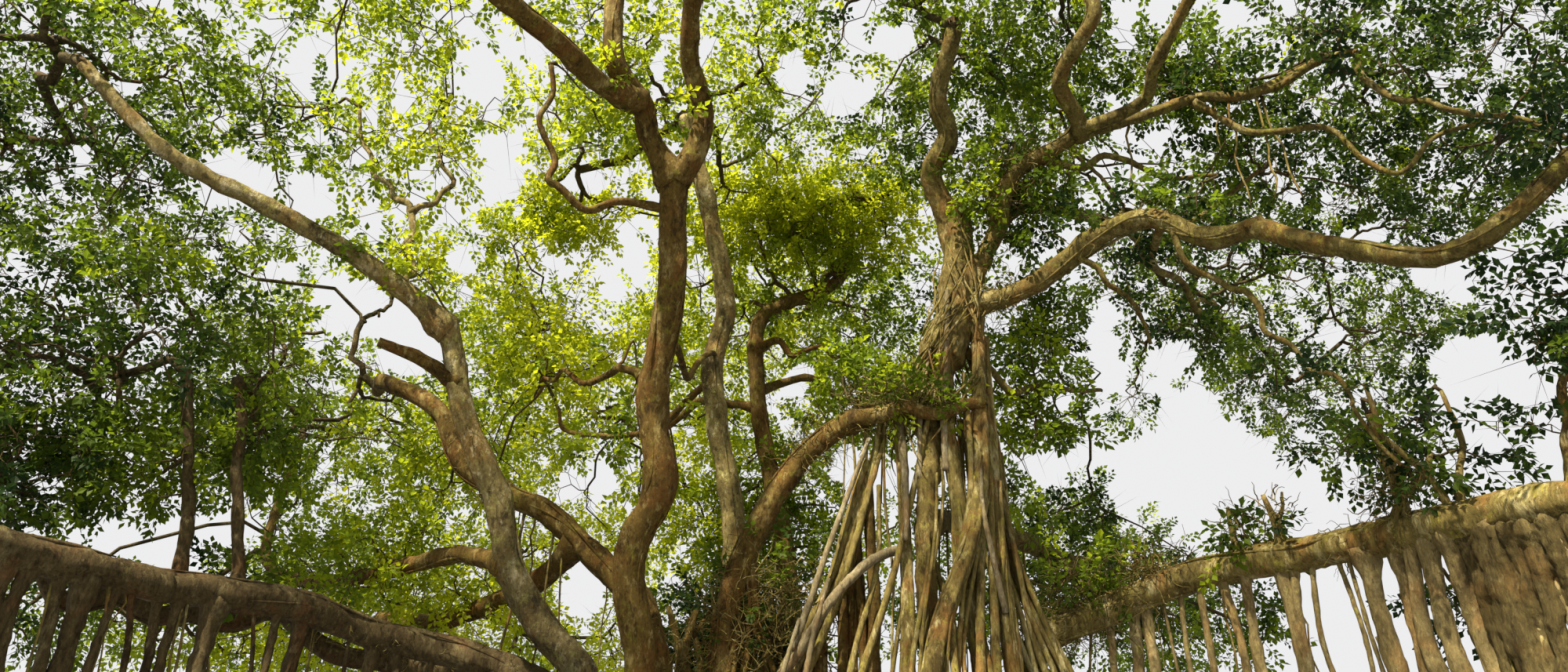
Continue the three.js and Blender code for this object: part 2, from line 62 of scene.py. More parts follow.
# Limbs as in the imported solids: the bends of the centre line, then the diameters at foot and tip.
LIMBS = {
    "centre_stem": ([(-2.75, -0.4, 3.0), (-2.5, -0.6, 4.6), (-2.7, -0.7, 6.0), (-2.35, -0.8, 7.0),
        (-2.5, -1.0, 8.2), (-2.3, -1.3, 9.4), (-2.25, -1.9, 11.3)], (0.46, 0.37)),
    "centre_stem_left_limb": ([(-2.24, -1.85, 11.1), (-2.6, -2.1, 11.7), (-2.7, -2.3, 12.1),
        (-3.05, -2.8, 12.5), (-3.1, -3.0, 14.7)], (0.32, 0.24)),
    "centre_stem_front_limb": ([(-2.75, -2.4, 12.1), (-3.3, -3.1, 11.95), (-3.6, -3.6, 12.0),
        (-4.4, -4.6, 12.15), (-5.3, -5.5, 12.8)], (0.3, 0.24)),
    "centre_stem_right_limb": ([(-2.24, -1.85, 11.1), (-1.9, -2.0, 11.75), (-1.85, -2.1, 12.2),
        (-2.05, -2.5, 12.8), (-1.8, -3.9, 14.0)], (0.32, 0.24)),
    "rear_stem": ([(-1.35, 0.7, 1.8), (-1.4, 2.0, 5.5), (-1.5, 2.2, 7.5), (-1.9, 2.0, 10.1),
        (-1.7, 2.0, 11.2), (-1.85, 1.9, 12.3), (-2.5, 1.4, 14.9)], (0.4, 0.3)),
    "back_stem": ([(0.2, 0.6, 1.6), (-0.5, 3.2, 5.2), (-0.7, 3.7, 7.5), (-1.2, 4.0, 10.7), (-1.1, 4.3, 12.4),
        (0.1, 4.7, 13.2), (0.8, 5.4, 14.4)], (0.4, 0.24)),
    "left_stem": ([(-2.75, -0.4, 3.4), (-3.25, -0.5, 4.6), (-3.8, -0.5, 5.2), (-4.25, -0.6, 5.9),
        (-4.5, -0.7, 6.8), (-5.0, -0.9, 7.8), (-5.2, -1.0, 8.5), (-5.35, -1.2, 9.2)], (0.42, 0.3)),
    "left_stem_long_limb": ([(-5.33, -1.15, 9.1), (-5.95, -1.5, 9.55), (-6.8, -2.0, 10.0),
        (-7.75, -2.5, 10.35), (-8.7, -3.0, 10.7), (-10.0, -3.4, 11.9)], (0.29, 0.17)),
    "left_stem_stub": ([(-5.15, -0.98, 8.35), (-5.65, -1.2, 8.65), (-6.15, -1.5, 8.75)], (0.21, 0.13)),
    "crossing_bough": ([(-2.3, -0.1, 3.4), (-2.5, 0.15, 5.4), (-3.4, 0.4, 6.45), (-4.1, 0.5, 7.05),
        (-4.7, 0.6, 7.35), (-5.4, 0.6, 7.8), (-5.9, 0.6, 8.7), (-6.8, 0.8, 9.25), (-7.5, 2.2, 9.8)],
        (0.42, 0.2)),
    "drooping_bough": ([(-3.6, 0.45, 6.6), (-4.15, 1.0, 6.25), (-4.8, 1.4, 6.05), (-6.1, 2.2, 5.85),
        (-7.4, 3.9, 6.4), (-7.6, 7.8, 7.4)], (0.3, 0.16)),
    "level_bough": ([(-4.28, -0.6, 5.95), (-5.1, 0.1, 6.3), (-6.65, 1.3, 6.4), (-8.0, 2.5, 6.6),
        (-9.6, 4.0, 7.5), (-9.9, 5.0, 9.9)], (0.25, 0.14)),
    "arching_bough": ([(-1.6, 0.1, 2.6), (-1.5, 0.2, 4.8), (-1.4, 0.3, 5.9), (-1.0, 0.3, 6.9),
        (-0.35, 0.2, 7.85), (0.4, 0.0, 8.3), (1.6, 0.0, 8.45)], (0.4, 0.26)),
    "upper_left_limb": ([(2.0, 0.0, 11.6), (1.65, -0.2, 12.45), (1.9, -0.5, 13.0), (1.75, -0.8, 13.45),
        (2.0, -1.4, 14.4)], (0.36, 0.26)),
    "upper_right_limb": ([(2.05, 0.0, 10.3), (2.6, -0.2, 11.4), (2.9, -0.5, 12.25), (3.85, -1.0, 12.75),
        (3.5, -1.6, 13.2), (3.9, -2.4, 13.8), (3.7, -2.2, 14.9)], (0.28, 0.2)),
    "upper_right_arm": ([(3.8, -0.95, 12.7), (4.7, -1.6, 12.8), (4.75, -2.2, 13.0), (5.3, -3.4, 13.7),
        (5.9, -4.7, 13.7)], (0.2, 0.15)),
    "long_right_arm": ([(3.8, -0.95, 12.65), (4.85, -1.05, 12.95), (5.65, -1.3, 13.1), (6.35, -1.5, 13.0),
        (7.4, -1.8, 13.4)], (0.18, 0.13)),
    "rear_right_bough": ([(2.55, -0.18, 11.3), (2.95, -0.05, 11.85), (4.2, 0.9, 12.45), (5.6, 2.4, 13.1),
        (6.6, 4.4, 13.6)], (0.2, 0.14)),
    "right_bough": ([(1.95, 0.0, 10.1), (2.85, -0.3, 10.25), (3.85, -1.0, 10.7), (4.45, -1.5, 10.75),
        (5.05, -2.2, 9.95), (5.5, -2.7, 9.85)], (0.32, 0.27)),
    "right_bough_outer": ([(5.4, -2.6, 9.87), (5.95, -3.4, 9.05), (6.55, -4.5, 8.25), (7.0, -5.0, 8.4),
        (7.6, -5.5, 8.9), (9.0, -6.0, 9.3), (10.8, -6.1, 10.0)], (0.27, 0.18)),
    "rear_low_bough": ([(1.2, -0.45, 6.5), (1.7, 1.0, 7.1), (2.8, 2.0, 7.2), (4.1, 3.6, 7.25),
        (5.4, 5.5, 7.9), (5.6, 8.6, 8.8)], (0.33, 0.18)),
    "low_left_bough": ([(-2.8, -0.3, 3.0), (-3.8, 0.2, 4.5), (-4.9, 0.4, 5.0), (-6.05, 0.0, 5.2),
        (-6.8, -0.8, 5.35), (-8.0, -2.0, 5.3)], (0.42, 0.37)),
    "low_left_bough_outer": ([(-7.9, -1.9, 5.3), (-8.7, -3.0, 5.3), (-9.2, -3.8, 5.25), (-10.2, -4.9, 5.3),
        (-11.5, -5.6, 6.0), (-12.6, -5.9, 7.6)], (0.39, 0.22)),
    "low_right_bough": ([(1.9, 0.1, 3.2), (2.8, 0.4, 5.2), (3.6, 0.3, 5.55), (4.85, -0.2, 5.95),
        (5.75, -1.0, 5.95), (6.4, -2.2, 5.8)], (0.38, 0.42)),
    "low_right_bough_outer": ([(6.38, -2.1, 5.81), (6.95, -3.3, 5.7), (7.2, -4.2, 5.55), (7.9, -5.6, 5.4),
        (9.4, -7.0, 6.2), (11.4, -6.9, 9.6)], (0.43, 0.2)),
    "left_shoot": ([(-7.9, -1.7, 5.3), (-8.05, -1.6, 6.3), (-8.2, -1.6, 6.9), (-8.5, -1.7, 8.2)],
        (0.17, 0.13)),
    "right_shoot": ([(6.5, -2.4, 5.8), (6.5, -2.4, 6.4), (6.3, -2.6, 7.2)], (0.15, 0.1)),
}

# Slimmer branches that the solids leave out.
SIDE_BRANCHES = {
    "stem_side_branch": ([(-2.3, -1.7, 10.75), (-3.4, -2.2, 10.4), (-3.9, -2.4, 10.75), (-4.1, -2.5, 11.7),
        (-4.0, -2.6, 12.6)], (0.13, 0.07)),
    "candelabra": ([(-5.95, -1.45, 9.5), (-6.0, -1.1, 10.1), (-6.1, -1.1, 10.7), (-6.2, -1.1, 11.1),
        (-6.5, -1.1, 11.4), (-6.8, -1.2, 11.7), (-7.1, -1.2, 12.35), (-7.2, -1.3, 12.9)], (0.15, 0.05)),
    "candelabra_right": ([(-6.2, -1.1, 11.1), (-5.9, -1.0, 11.35), (-5.7, -0.9, 11.8), (-6.1, -0.7, 12.6),
        (-6.4, -0.6, 13.3)], (0.09, 0.04)),
    "left_inner_shoot": ([(-7.4, -1.3, 5.35), (-7.55, -1.3, 6.2), (-7.75, -1.3, 7.0), (-8.0, -1.3, 8.2)],
        (0.17, 0.12)),
    "long_arm_tip": ([(6.35, -1.5, 13.0), (7.35, -1.8, 13.4), (7.85, -2.0, 13.4), (7.8, -2.4, 12.3),
        (8.1, -2.8, 11.8), (8.5, -3.0, 11.4), (9.2, -3.5, 10.6)], (0.13, 0.06)),
    "long_arm_low_branch": ([(5.6, -1.3, 13.0), (6.2, -1.5, 12.3), (7.3, -1.7, 12.2), (7.9, -2.1, 11.1),
        (8.9, -2.6, 11.6)], (0.11, 0.06)),
    "right_bough_side_branch": ([(3.9, -1.05, 10.75), (4.5, -0.6, 11.5), (5.5, -0.4, 11.4),
        (6.6, -0.8, 12.1)], (0.14, 0.06)),
    "hanging_crook": ([(4.7, -1.85, 10.3), (4.75, -1.9, 9.75), (5.1, -1.9, 9.5), (5.4, -2.0, 9.25),
        (5.5, -2.1, 8.6), (5.75, -2.3, 8.2), (6.0, -2.6, 7.7), (5.95, -2.9, 7.15), (6.15, -3.2, 6.3)],
        (0.1, 0.04)),
    "leafy_side_branch": ([(-2.65, -0.9, 8.45), (-3.0, -0.75, 8.73), (-3.25, -0.4, 8.78), (-3.99, 0.1, 9.13),
        (-4.34, 0.4, 9.14), (-4.43, 0.6, 8.95)], (0.13, 0.05)),
    "leafy_side_shoot": ([(-3.2, -0.45, 8.77), (-2.99, -0.5, 8.98), (-2.88, -0.5, 9.3)], (0.06, 0.03)),
    "behind_the_stem_branch": ([(-2.25, -1.0, 8.9), (-2.2, 0.2, 9.2), (-2.06, 1.0, 9.71),
        (-1.85, 1.9, 10.32)], (0.11, 0.08)),
    "upper_branch": ([(3.3, -0.7, 12.4), (4.0, -0.6, 12.3), (4.25, -0.7, 12.45), (4.75, -0.8, 12.2),
        (5.2, -1.0, 11.8), (5.8, -1.1, 11.8)], (0.13, 0.06)),
    "short_hanging_branch": ([(3.5, -0.8, 10.6), (3.85, -0.9, 10.3), (4.35, -0.6, 9.95), (4.7, -0.2, 9.4)],
        (0.1, 0.05)),
    "right_bough_rear_branch": ([(4.6, -1.7, 10.55), (5.5, 0.2, 10.7), (6.3, 1.6, 11.2), (7.0, 2.8, 11.9)],
        (0.13, 0.07)),
    "column_side_branch": ([(2.0, 0.05, 9.4), (2.7, 0.4, 8.9), (3.4, 1.0, 9.3), (4.6, 2.2, 9.8)],
        (0.12, 0.06)),
    "back_stem_left_branch": ([(-1.2, 4.0, 10.3), (-2.3, 4.6, 10.7), (-3.4, 5.2, 10.2), (-4.4, 5.6, 10.8)],
        (0.18, 0.08)),
    "back_stem_right_branch": ([(-1.2, 4.0, 10.6), (-0.2, 4.6, 11.2), (1.0, 5.2, 11.1), (2.2, 5.6, 12.2)],
        (0.18, 0.08)),
    "back_stem_crook": ([(-1.15, 4.1, 11.6), (-0.55, 3.8, 11.25), (0.0, 3.8, 11.45), (0.5, 4.0, 11.4)],
        (0.15, 0.06)),
    "low_left_back_bough": ([(-4.6, 0.4, 4.9), (-5.9, 1.4, 5.1), (-7.3, 1.0, 5.35), (-8.1, 0.2, 5.4),
        (-8.7, -0.6, 5.3), (-9.3, -1.6, 5.2), (-9.9, -2.8, 5.6)], (0.3, 0.2)),
    "rear_stem_branch": ([(-1.9, 2.0, 9.9), (-2.8, 2.6, 9.3), (-3.9, 3.2, 9.4), (-4.8, 3.9, 10.2)],
        (0.13, 0.07)),
    "bough_stub_1": ([(5.2, -0.6, 5.95), (5.2, -0.6, 6.35), (5.18, -0.65, 6.72)], (0.12, 0.05)),
    "bough_stub_2": ([(5.65, -0.95, 5.95), (5.62, -1.0, 6.35), (5.5, -1.05, 6.75)], (0.19, 0.05)),
    "bough_stub_2_arm": ([(5.6, -1.0, 6.35), (5.75, -1.0, 6.6), (5.78, -1.0, 6.8)], (0.08, 0.03)),
    "arching_bough_front": ([(0.2, 0.05, 8.2), (0.7, -0.35, 8.2), (1.2, -0.55, 8.15), (1.75, -0.6, 8.2),
        (2.1, -0.55, 8.3)], (0.26, 0.16)),
    "bough_knot": ([(6.3, -2.2, 5.8), (6.5, -2.5, 6.2), (6.75, -2.8, 6.6)], (0.14, 0.07)),
    "bough_shoot_left": ([(6.75, -2.9, 5.75), (6.6, -2.9, 6.3), (6.2, -2.9, 6.8), (6.1, -3.0, 7.4)],
        (0.1, 0.05)),
    "bough_shoot_right": ([(6.8, -3.0, 5.75), (6.9, -3.0, 6.3), (7.1, -2.9, 6.7), (7.1, -2.8, 7.4)],
        (0.1, 0.05)),
    "bough_shoot_outer": ([(7.2, -4.2, 5.6), (7.35, -4.2, 6.2), (7.4, -4.3, 6.7), (7.7, -4.4, 7.4)],
        (0.13, 0.06)),
}


def crooked(bends, seed, much):
    """The bends with a strayed one put between each two."""
    rng = seeded(seed)
    found = [bends[0]]
    for first, second in zip(np.array(bends[:-1]), np.array(bends[1:])):
        stray = rng.normal(0, much, 3) * np.linalg.norm(second - first)
        found += [tuple((first + second) / 2 + stray), tuple(second)]
    return found


WOOD = dict(LIMBS)
for k, (name, (bends, girth)) in enumerate(SIDE_BRANCHES.items()):
    much = 0.03 if "stub" in name or "shoot" in name else 0.11
    WOOD[name] = (crooked(bends, 60 + k, much), girth)

# The trunk's own tubes, then the hanging roots that join it: bends from the top down on the roots.
TRUNK_TUBES = [
    ([(-2.6, -0.4, -0.4), (-2.7, -0.35, 2.0), (-2.78, -0.4, 4.2)], (1.4, 0.42)),
    ([(-1.5, 0.3, -0.4), (-1.6, 0.25, 2.0), (-1.5, 0.2, 4.4)], (1.2, 0.3)),
    ([(1.2, -0.2, -0.4), (1.15, -0.3, 1.6), (1.15, -0.4, 3.6)], (1.0, 0.3)),
    ([(1.15, -0.4, 3.3), (1.15, -0.45, 5.7), (1.28, -0.35, 7.4)], (0.26, 0.3)),
    ([(1.27, -0.37, 7.2), (1.45, -0.1, 8.6), (1.75, 0.0, 9.6)], (0.3, 0.5)),
    ([(1.62, -0.03, 9.2), (1.85, 0.0, 10.0), (2.0, 0.0, 11.0), (2.0, 0.0, 12.0)], (0.66, 0.4)),
    ([(2.2, 0.3, -0.4), (2.1, 0.3, 2.0), (2.3, 0.3, 4.0)], (1.2, 0.3)),
]
TRUNK_ROOTS = {
    "slanting_root": ([(0.75, 0.0, 8.25), (0.35, -0.05, 7.0), (0.0, -0.1, 5.8), (-0.6, -0.2, 4.6),
        (-1.1, -0.6, 2.4)], (0.24, 0.46)),
    "left_root": ([(0.9, -0.05, 8.3), (0.92, -0.2, 7.0), (0.88, -0.5, 5.3), (0.8, -0.7, 4.4),
        (0.6, -1.3, 0.8)], (0.14, 0.32)),
    "front_root": ([(1.65, -0.2, 9.6), (1.6, -0.42, 7.8), (1.68, -0.45, 6.4), (1.75, -0.6, 4.6),
        (1.8, -1.0, 1.6)], (0.24, 0.3)),
    "crossing_root": ([(2.2, -0.1, 9.9), (1.98, -0.5, 7.8), (1.72, -0.8, 6.3), (1.15, -1.1, 4.8),
        (0.8, -1.5, 2.6), (0.5, -2.0, -0.4)], (0.2, 0.34)),
    "right_root": ([(2.3, 0.0, 9.6), (2.17, -0.35, 6.8), (2.12, -0.65, 5.1), (2.15, -0.9, 3.4),
        (2.3, -1.4, 0.6)], (0.16, 0.32)),
    "outer_right_root": ([(2.0, 0.2, 9.6), (2.3, 0.25, 8.4), (2.4, 0.1, 6.4), (2.75, -0.1, 5.1),
        (3.2, -0.4, 3.6), (3.9, -0.9, -0.4)], (0.14, 0.42)),
}
# How the named roots are made up: the core's share of the girth, the number of strands wound round it, how
# far out these lie and their share of the girth.
WINDINGS = {"slanting_root": (0.45, 7, 0.72, (0.2, 0.42)), "outer_right_root": (0.35, 7, 1.0, (0.16, 0.32)),
            "left_root": (0.6, 4, 0.6, (0.2, 0.42)), "right_root": (0.7, 3, 0.65, (0.2, 0.4)),
            "front_root": (0.88, 2, 0.6, (0.15, 0.35)), "crossing_root": (0.86, 2, 0.6, (0.2, 0.4))}
# Roots with a paler bark that is painted sunlight: the sun flecks on them are painted into their colour.
PAINTED_SUNLIT_ROOTS = [
    ([(-0.75, -0.3, 4.6), (-0.45, -0.45, 4.95), (-0.2, -0.6, 5.35), (0.05, -0.62, 5.65), (0.38, -0.5, 6.0),
        (0.66, -0.3, 6.2), (0.92, -0.2, 6.3)], (0.13, 0.13)),
    ([(0.5, -0.18, 7.9), (0.16, -0.25, 7.0), (-0.14, -0.3, 6.2), (-0.34, -0.35, 5.6), (-0.6, -0.4, 4.9)],
        (0.06, 0.1)),
    ([(0.93, -0.2, 8.2), (0.95, -0.4, 7.5), (0.94, -0.5, 6.9), (0.9, -0.55, 6.3)], (0.13, 0.08)),
    ([(1.98, -0.6, 7.5), (1.9, -0.85, 6.7), (1.95, -0.88, 6.1), (2.1, -0.7, 5.3)], (0.04, 0.09)),
    ([(-0.12, -0.5, 5.8), (-0.26, -0.66, 5.3), (-0.4, -0.7, 4.7), (-0.75, -0.75, 2.6), (-0.95, -1.3, -0.2)],
        (0.05, 0.2)),
    ([(-0.5, -0.4, 5.3), (-0.62, -0.55, 4.9), (-0.75, -0.6, 4.4), (-0.95, -0.7, 2.4), (-1.3, -1.4, -0.2)],
        (0.05, 0.18)),
    ([(1.74, -0.3, 10.3), (1.7, -0.38, 9.7), (1.63, -0.44, 9.1), (1.57, -0.52, 8.5), (1.52, -0.55, 8.0),
        (1.5, -0.5, 7.3)], (0.07, 0.1)),
    ([(1.5, -0.2, 9.6), (1.37, -0.34, 9.0), (1.27, -0.42, 8.5), (1.21, -0.42, 8.1), (1.18, -0.44, 7.7),
        (1.14, -0.44, 7.2)], (0.05, 0.08)),
]
# The foot: its height, its half sizes on the ground and at the top, how fast it spreads, and the depth, place
# and width of the dip between the stems.
FOOT = {"height": 2.7, "half": (3.6, 1.9), "top_half": (1.9, 0.3), "shift": -0.4, "spread": 2.4,
        "dip": (0.45, 0.1, 0.9), "roots": 64}
# The stems that the foot's root ridges run down from, with the height that these reach.
STEM_FEET = np.array([(-2.8, -0.4, 4.6), (-2.35, -0.1, 4.6), (-1.6, 0.15, 4.4), (-1.0, -0.3, 2.9),
                      (1.1, -0.4, 3.6), (2.1, 0.2, 4.2)])
# The trunk's neck: heights with the x of its middle there, and heights with its half width there.
NECK_MIDDLE = ((6.4, 7.4, 8.6, 9.6, 10.0, 11.0, 12.0), (1.25, 1.3, 1.6, 1.8, 1.9, 2.0, 2.0))
NECK_REACH = ((6.4, 8.4, 9.4, 10.2, 12.0), (0.6, 0.6, 0.46, 0.38, 0.24))
# Roots of each kind that have no line of their own.
BUNDLE_ROOTS = 24
NECK_ROOTS = 64
STOUT_STEM_ROOTS, THIN_STEM_ROOTS, PROP_ROOTS = 22, 56, 16

# Pillar roots under each low bough: share of its length, diameter, and lean of the foot.
PILLARS = {
    "low_left_bough": [(0.5, 0.1, 0.0, 0.1), (0.565, 0.13, 0.1, 0.1), (0.61, 0.18, 0.0, 0.05),
        (0.66, 0.06, 0.05, -0.1), (0.748, 0.21, -0.05, 0.05), (0.8, 0.12, 0.1, -0.1),
        (0.84, 0.06, -0.1, 0.1), (0.9, 0.24, -0.1, 0.1), (0.955, 0.14, -0.05, -0.2)],
    "low_left_bough_outer": [(0.012, 0.13, -0.1, 0.2), (0.052, 0.09, -0.15, 0.05),
        (0.075, 0.11, -0.1, -0.25), (0.12, 0.24, -0.15, -0.1), (0.158, 0.16, -0.2, 0.35),
        (0.192, 0.16, -0.2, -0.2), (0.21, 0.14, -0.1, 0.3), (0.235, 0.2, -0.2, 0.1),
        (0.275, 0.13, -0.15, -0.2), (0.32, 0.22, -0.15, 0.1), (0.385, 0.14, -0.1, 0.0)],
    "low_right_bough": [(0.45, 0.12, 0.0, 0.15), (0.5, 0.18, 0.0, 0.0), (0.522, 0.17, 0.02, 0.05),
        (0.555, 0.05, 0.1, -0.15), (0.59, 0.08, 0.15, 0.1), (0.625, 0.11, 0.1, 0.0),
        (0.672, 0.13, 0.15, -0.05), (0.712, 0.16, 0.1, 0.1), (0.785, 0.2, 0.1, 0.0), (0.8, 0.14, 0.14, 0.08),
        (0.835, 0.08, 0.2, 0.1), (0.885, 0.07, 0.25, 0.1), (0.905, 0.06, 0.3, 0.0),
        (0.945, 0.25, 0.3, -0.1)],
    "low_right_bough_outer": [(0.008, 0.2, 0.1, 0.05), (0.028, 0.2, 0.05, -0.02), (0.05, 0.22, 0.05, 0.05),
        (0.075, 0.25, 0.35, -0.15), (0.1, 0.07, 0.4, 0.1), (0.122, 0.17, 0.35, -0.45),
        (0.16, 0.19, 0.35, -0.5), (0.2, 0.21, 0.3, -0.45), (0.24, 0.16, 0.3, -0.5),
        (0.275, 0.22, 0.25, -0.35), (0.33, 0.2, 0.2, -0.2)],
}
# Diameters above which a pillar has roots of its own over the ground, and strands wound round it.
WITH_GROUND_ROOTS, WITH_STRANDS = 0.1, 0.19
# Broad pillars at the end of the right bough that have grown into one another, in the same terms.
WEB = [(0.125, 0.2, 0.1, 0.1), (0.145, 0.24, 0.25, 0.15), (0.165, 0.22, 0.05, 0.05), (0.185, 0.26, 0.3, 0.15),
       (0.205, 0.2, 0.1, 0.1), (0.23, 0.26, 0.3, 0.15), (0.252, 0.22, 0.1, 0.05), (0.28, 0.24, 0.2, 0.15)]
WEB_SETBACK = (-0.1, 0.3, 0.0)  # how far the web stands off the bough's line

# Thin roots hung from a limb: from and to which share of it, how many, and the height range of their tips.
HANGING = {
    "arching_bough": (0.8, 0.97, 6, 0.2, 4.5),
    "right_bough": (0.02, 0.08, 2, 3.0, 6.0),
    "rear_low_bough": (0.05, 0.35, 12, 0.2, 5.0),
    "low_left_bough": (0.45, 0.98, 8, 0.0, 4.6),
    "low_left_bough_outer": (0.02, 0.4, 7, 0.0, 4.6),
    "low_right_bough": (0.4, 0.98, 6, 0.0, 5.0),
    "low_right_bough_outer": (0.02, 0.4, 6, 0.0, 4.8),
    "crossing_bough": (0.15, 0.5, 6, 4.0, 6.0),
    "long_right_arm": (0.2, 0.9, 5, 11.0, 12.4),
}

# Fine tangled growth on a limb's bark: from and to which share of it, how many stems, and how far they reach.
TANGLES = {
    "arching_bough": [(0.08, 0.4, 170, 0.75), (0.68, 0.99, 210, 0.6)],
    "low_right_bough": [(0.3, 0.55, 220, 0.5), (0.9, 0.99, 30, 0.3)],
    "right_bough": [(0.0, 0.2, 90, 0.5), (0.4, 0.9, 60, 0.4)],
    "upper_right_limb": [(0.0, 0.5, 120, 0.5)],
    "level_bough": [(0.25, 0.7, 90, 0.45)],
    "drooping_bough": [(0.1, 0.5, 70, 0.4)],
    "left_stem": [(0.6, 0.8, 40, 0.4)],
    "rear_low_bough": [(0.1, 0.45, 60, 0.5)],
    "low_left_bough": [(0.3, 0.7, 60, 0.35)],
}

# Numbers that set how fine the meshes are.
BEND_STEPS = 24
RING_STEP = 0.09
LIMB_SIDES = 18
FOOT_SIDES = 48
VOXEL_FOOT = 0.06
VOXEL_TRUNK = 0.032
VOXEL_WEB = 0.036
FOOT_TOP = 3.5

# Crown: how densely the sprays stand, and how much each mass has of them and of painted light, below zero
# painted shade.
SPRAYS_PER_M3 = 27.0
MASS_LOOKS = {
    "crown_front": (0.45, 0.0), "crown_front_left": (0.45, 0.0), "crown_front_right": (0.45, 0.0),
    "crown_far_left": (0.5, 0.0), "crown_far_right": (0.6, 0.0), "crown_left": (0.7, 0.0),
    "crown_right": (0.83, 0.1), "crown_top": (0.9, 0.05), "crown_top_left": (0.8, 0.1),
    "crown_back_left": (0.7, 0.15), "crown_back": (0.8, 0.15), "crown_back_right": (0.5, 0.1),
    "rear_skirt_left": (0.74, 0.25), "rear_skirt_right": (0.5, 0.05),
    "left_shoot_crown": (0.77, -0.15), "right_shoot_crown": (0.44, -0.1),
}
SPRAY_SPACING = 0.16
SPRAY_LENGTH = 0.48
LEAVES_PER_SPRAY = 18
LEAF_LENGTH = 0.107
LEAF_SIZES = (0.7, 1.25)  # least and most, as shares of that
LEAF_STALK = 0.03
LEAVES_FROM = 0.1  # the share of a twig's length, at its foot, that has no leaves
NEAR = 13.5  # sprays nearer the camera than this have leaves with more corners
SHELL_DEPTH = 1.15  # sprays deeper in a mass than this are thinned out
CORE_SHARE = 0.45  # the share of them that stays
LEAST_DEPTH = 0.2
CLUMP_CUT = -0.4  # raising it opens more gaps between the clumps
SPRAY_MARGIN, LEAF_MARGIN = 6, 2  # how far these stay off a bare limb, in the photograph's pixels
GOLDEN_ANGLE = 2.39996
CROWN_HEART = (0.0, 0.0, 9.0)  # the twigs lean away from here
TWIG_RADIUS = 0.0048
SLIM, STOUT = 0.011, 0.022  # radii that part the twigs from the branches and these from the boughs

MASSES = [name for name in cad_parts
          if name.startswith(("crown_", "rear_skirt_")) or name.endswith("_shoot_crown")]


def colour_material(name, roughness, specular=0.3):
    """A material with its Principled shader, and its node tree's parts."""
    material = bpy.data.materials.new(name)
    material.use_nodes = True
    tree = material.node_tree
    shader = tree.nodes["Principled BSDF"]
    shader.inputs["Roughness"].default_value = roughness
    shader.inputs["Specular IOR Level"].default_value = specular
    return material, tree, shader


def ramp(tree, source, stops):
    """A colour ramp of (place, colour) stops fed by a socket."""
    made = tree.nodes.new("ShaderNodeValToRGB")
    elements = made.color_ramp.elements
    while len(elements) < len(stops):
        elements.new(0.5)
    for element, (place, colour) in zip(elements, stops):
        element.position = place
        element.color = (*colour, 1.0)
    tree.links.new(source, made.inputs["Fac"])
    return made.outputs["Color"]


def mixed(tree, factor, first, second, blend="MIX"):
    """Two colours mixed by a factor socket or number."""
    made = tree.nodes.new("ShaderNodeMix")
    made.data_type = "RGBA"
    made.blend_type = blend
    if isinstance(factor, float):
        made.inputs["Factor"].default_value = factor
    else:
        tree.links.new(factor, made.inputs["Factor"])
    for key, value in (("A", first), ("B", second)):
        socket = next(s for s in made.inputs if s.name == key and s.type == "RGBA")
        if isinstance(value, tuple):
            socket.default_value = (*value, 1.0)
        else:
            tree.links.new(value, socket)
    return next(s for s in made.outputs if s.type == "RGBA")


# Each bark's dark, middle and pale colours, its rust and lichen, the noise above which lichen grows, the
# pattern's scale upwards, and the height below which it darkens as painted shade.
BARKS = {
    "brown": ((0.034, 0.019, 0.004), (0.105, 0.066, 0.014), (0.27, 0.21, 0.075),
              (0.12, 0.056, 0.012), (0.15, 0.135, 0.018), 0.56, 0.5),
    "olive": ((0.045, 0.032, 0.008), (0.13, 0.1, 0.028), (0.32, 0.27, 0.11),
              (0.15, 0.085, 0.02), (0.22, 0.2, 0.03), 0.54, 0.6),
    "root": ((0.05, 0.034, 0.009), (0.16, 0.122, 0.036), (0.42, 0.36, 0.17),
             (0.19, 0.1, 0.026), (0.24, 0.21, 0.035), 0.54, 0.3),
    "trunk": ((0.045, 0.03, 0.008), (0.14, 0.105, 0.03), (0.34, 0.285, 0.125),
              (0.16, 0.085, 0.022), (0.22, 0.195, 0.035), 0.56, 0.4),
    "pillar": ((0.1, 0.072, 0.028), (0.2, 0.152, 0.062), (0.34, 0.28, 0.135),
               (0.23, 0.14, 0.05), (0.25, 0.225, 0.05), 0.58, 0.45),
    # The pale bark is partly the bark's own pale tone and partly painted sunlight; below 6.3 m it is darkened
    # as painted shade.
    "pale": ((0.06, 0.044, 0.018), (0.2, 0.155, 0.055), (0.46, 0.4, 0.23),
             (0.2, 0.12, 0.035), (0.34, 0.32, 0.09), 0.55, 0.6, 6.3),
    # A paler bark that is painted sunlight, for the sunlit roots.
    "painted_sunlight": ((0.075, 0.055, 0.025), (0.2, 0.16, 0.085), (0.38, 0.33, 0.21),
              (0.18, 0.11, 0.045), (0.26, 0.24, 0.08), 0.6, 0.3),
    # The dark bark is a darker copy that paints the shade on the low left boughs and the left pillars.
    "dark": ((0.028, 0.018, 0.006), (0.07, 0.05, 0.02), (0.15, 0.12, 0.055),
             (0.09, 0.045, 0.015), (0.1, 0.09, 0.02), 0.6, 0.45),
    "shaded": ((0.028, 0.02, 0.007), (0.075, 0.056, 0.019), (0.15, 0.118, 0.046),
               (0.085, 0.052, 0.015), (0.1, 0.085, 0.02), 0.6, 0.3),
    # The twig bark is partly the twigs' own grey-brown and partly painted shade, darker for twigs seen
    # against the light.
    "twig": ((0.03, 0.022, 0.01), (0.075, 0.058, 0.025), (0.16, 0.13, 0.06),
             (0.09, 0.055, 0.02), (0.12, 0.11, 0.02), 0.6, 1.0),
}


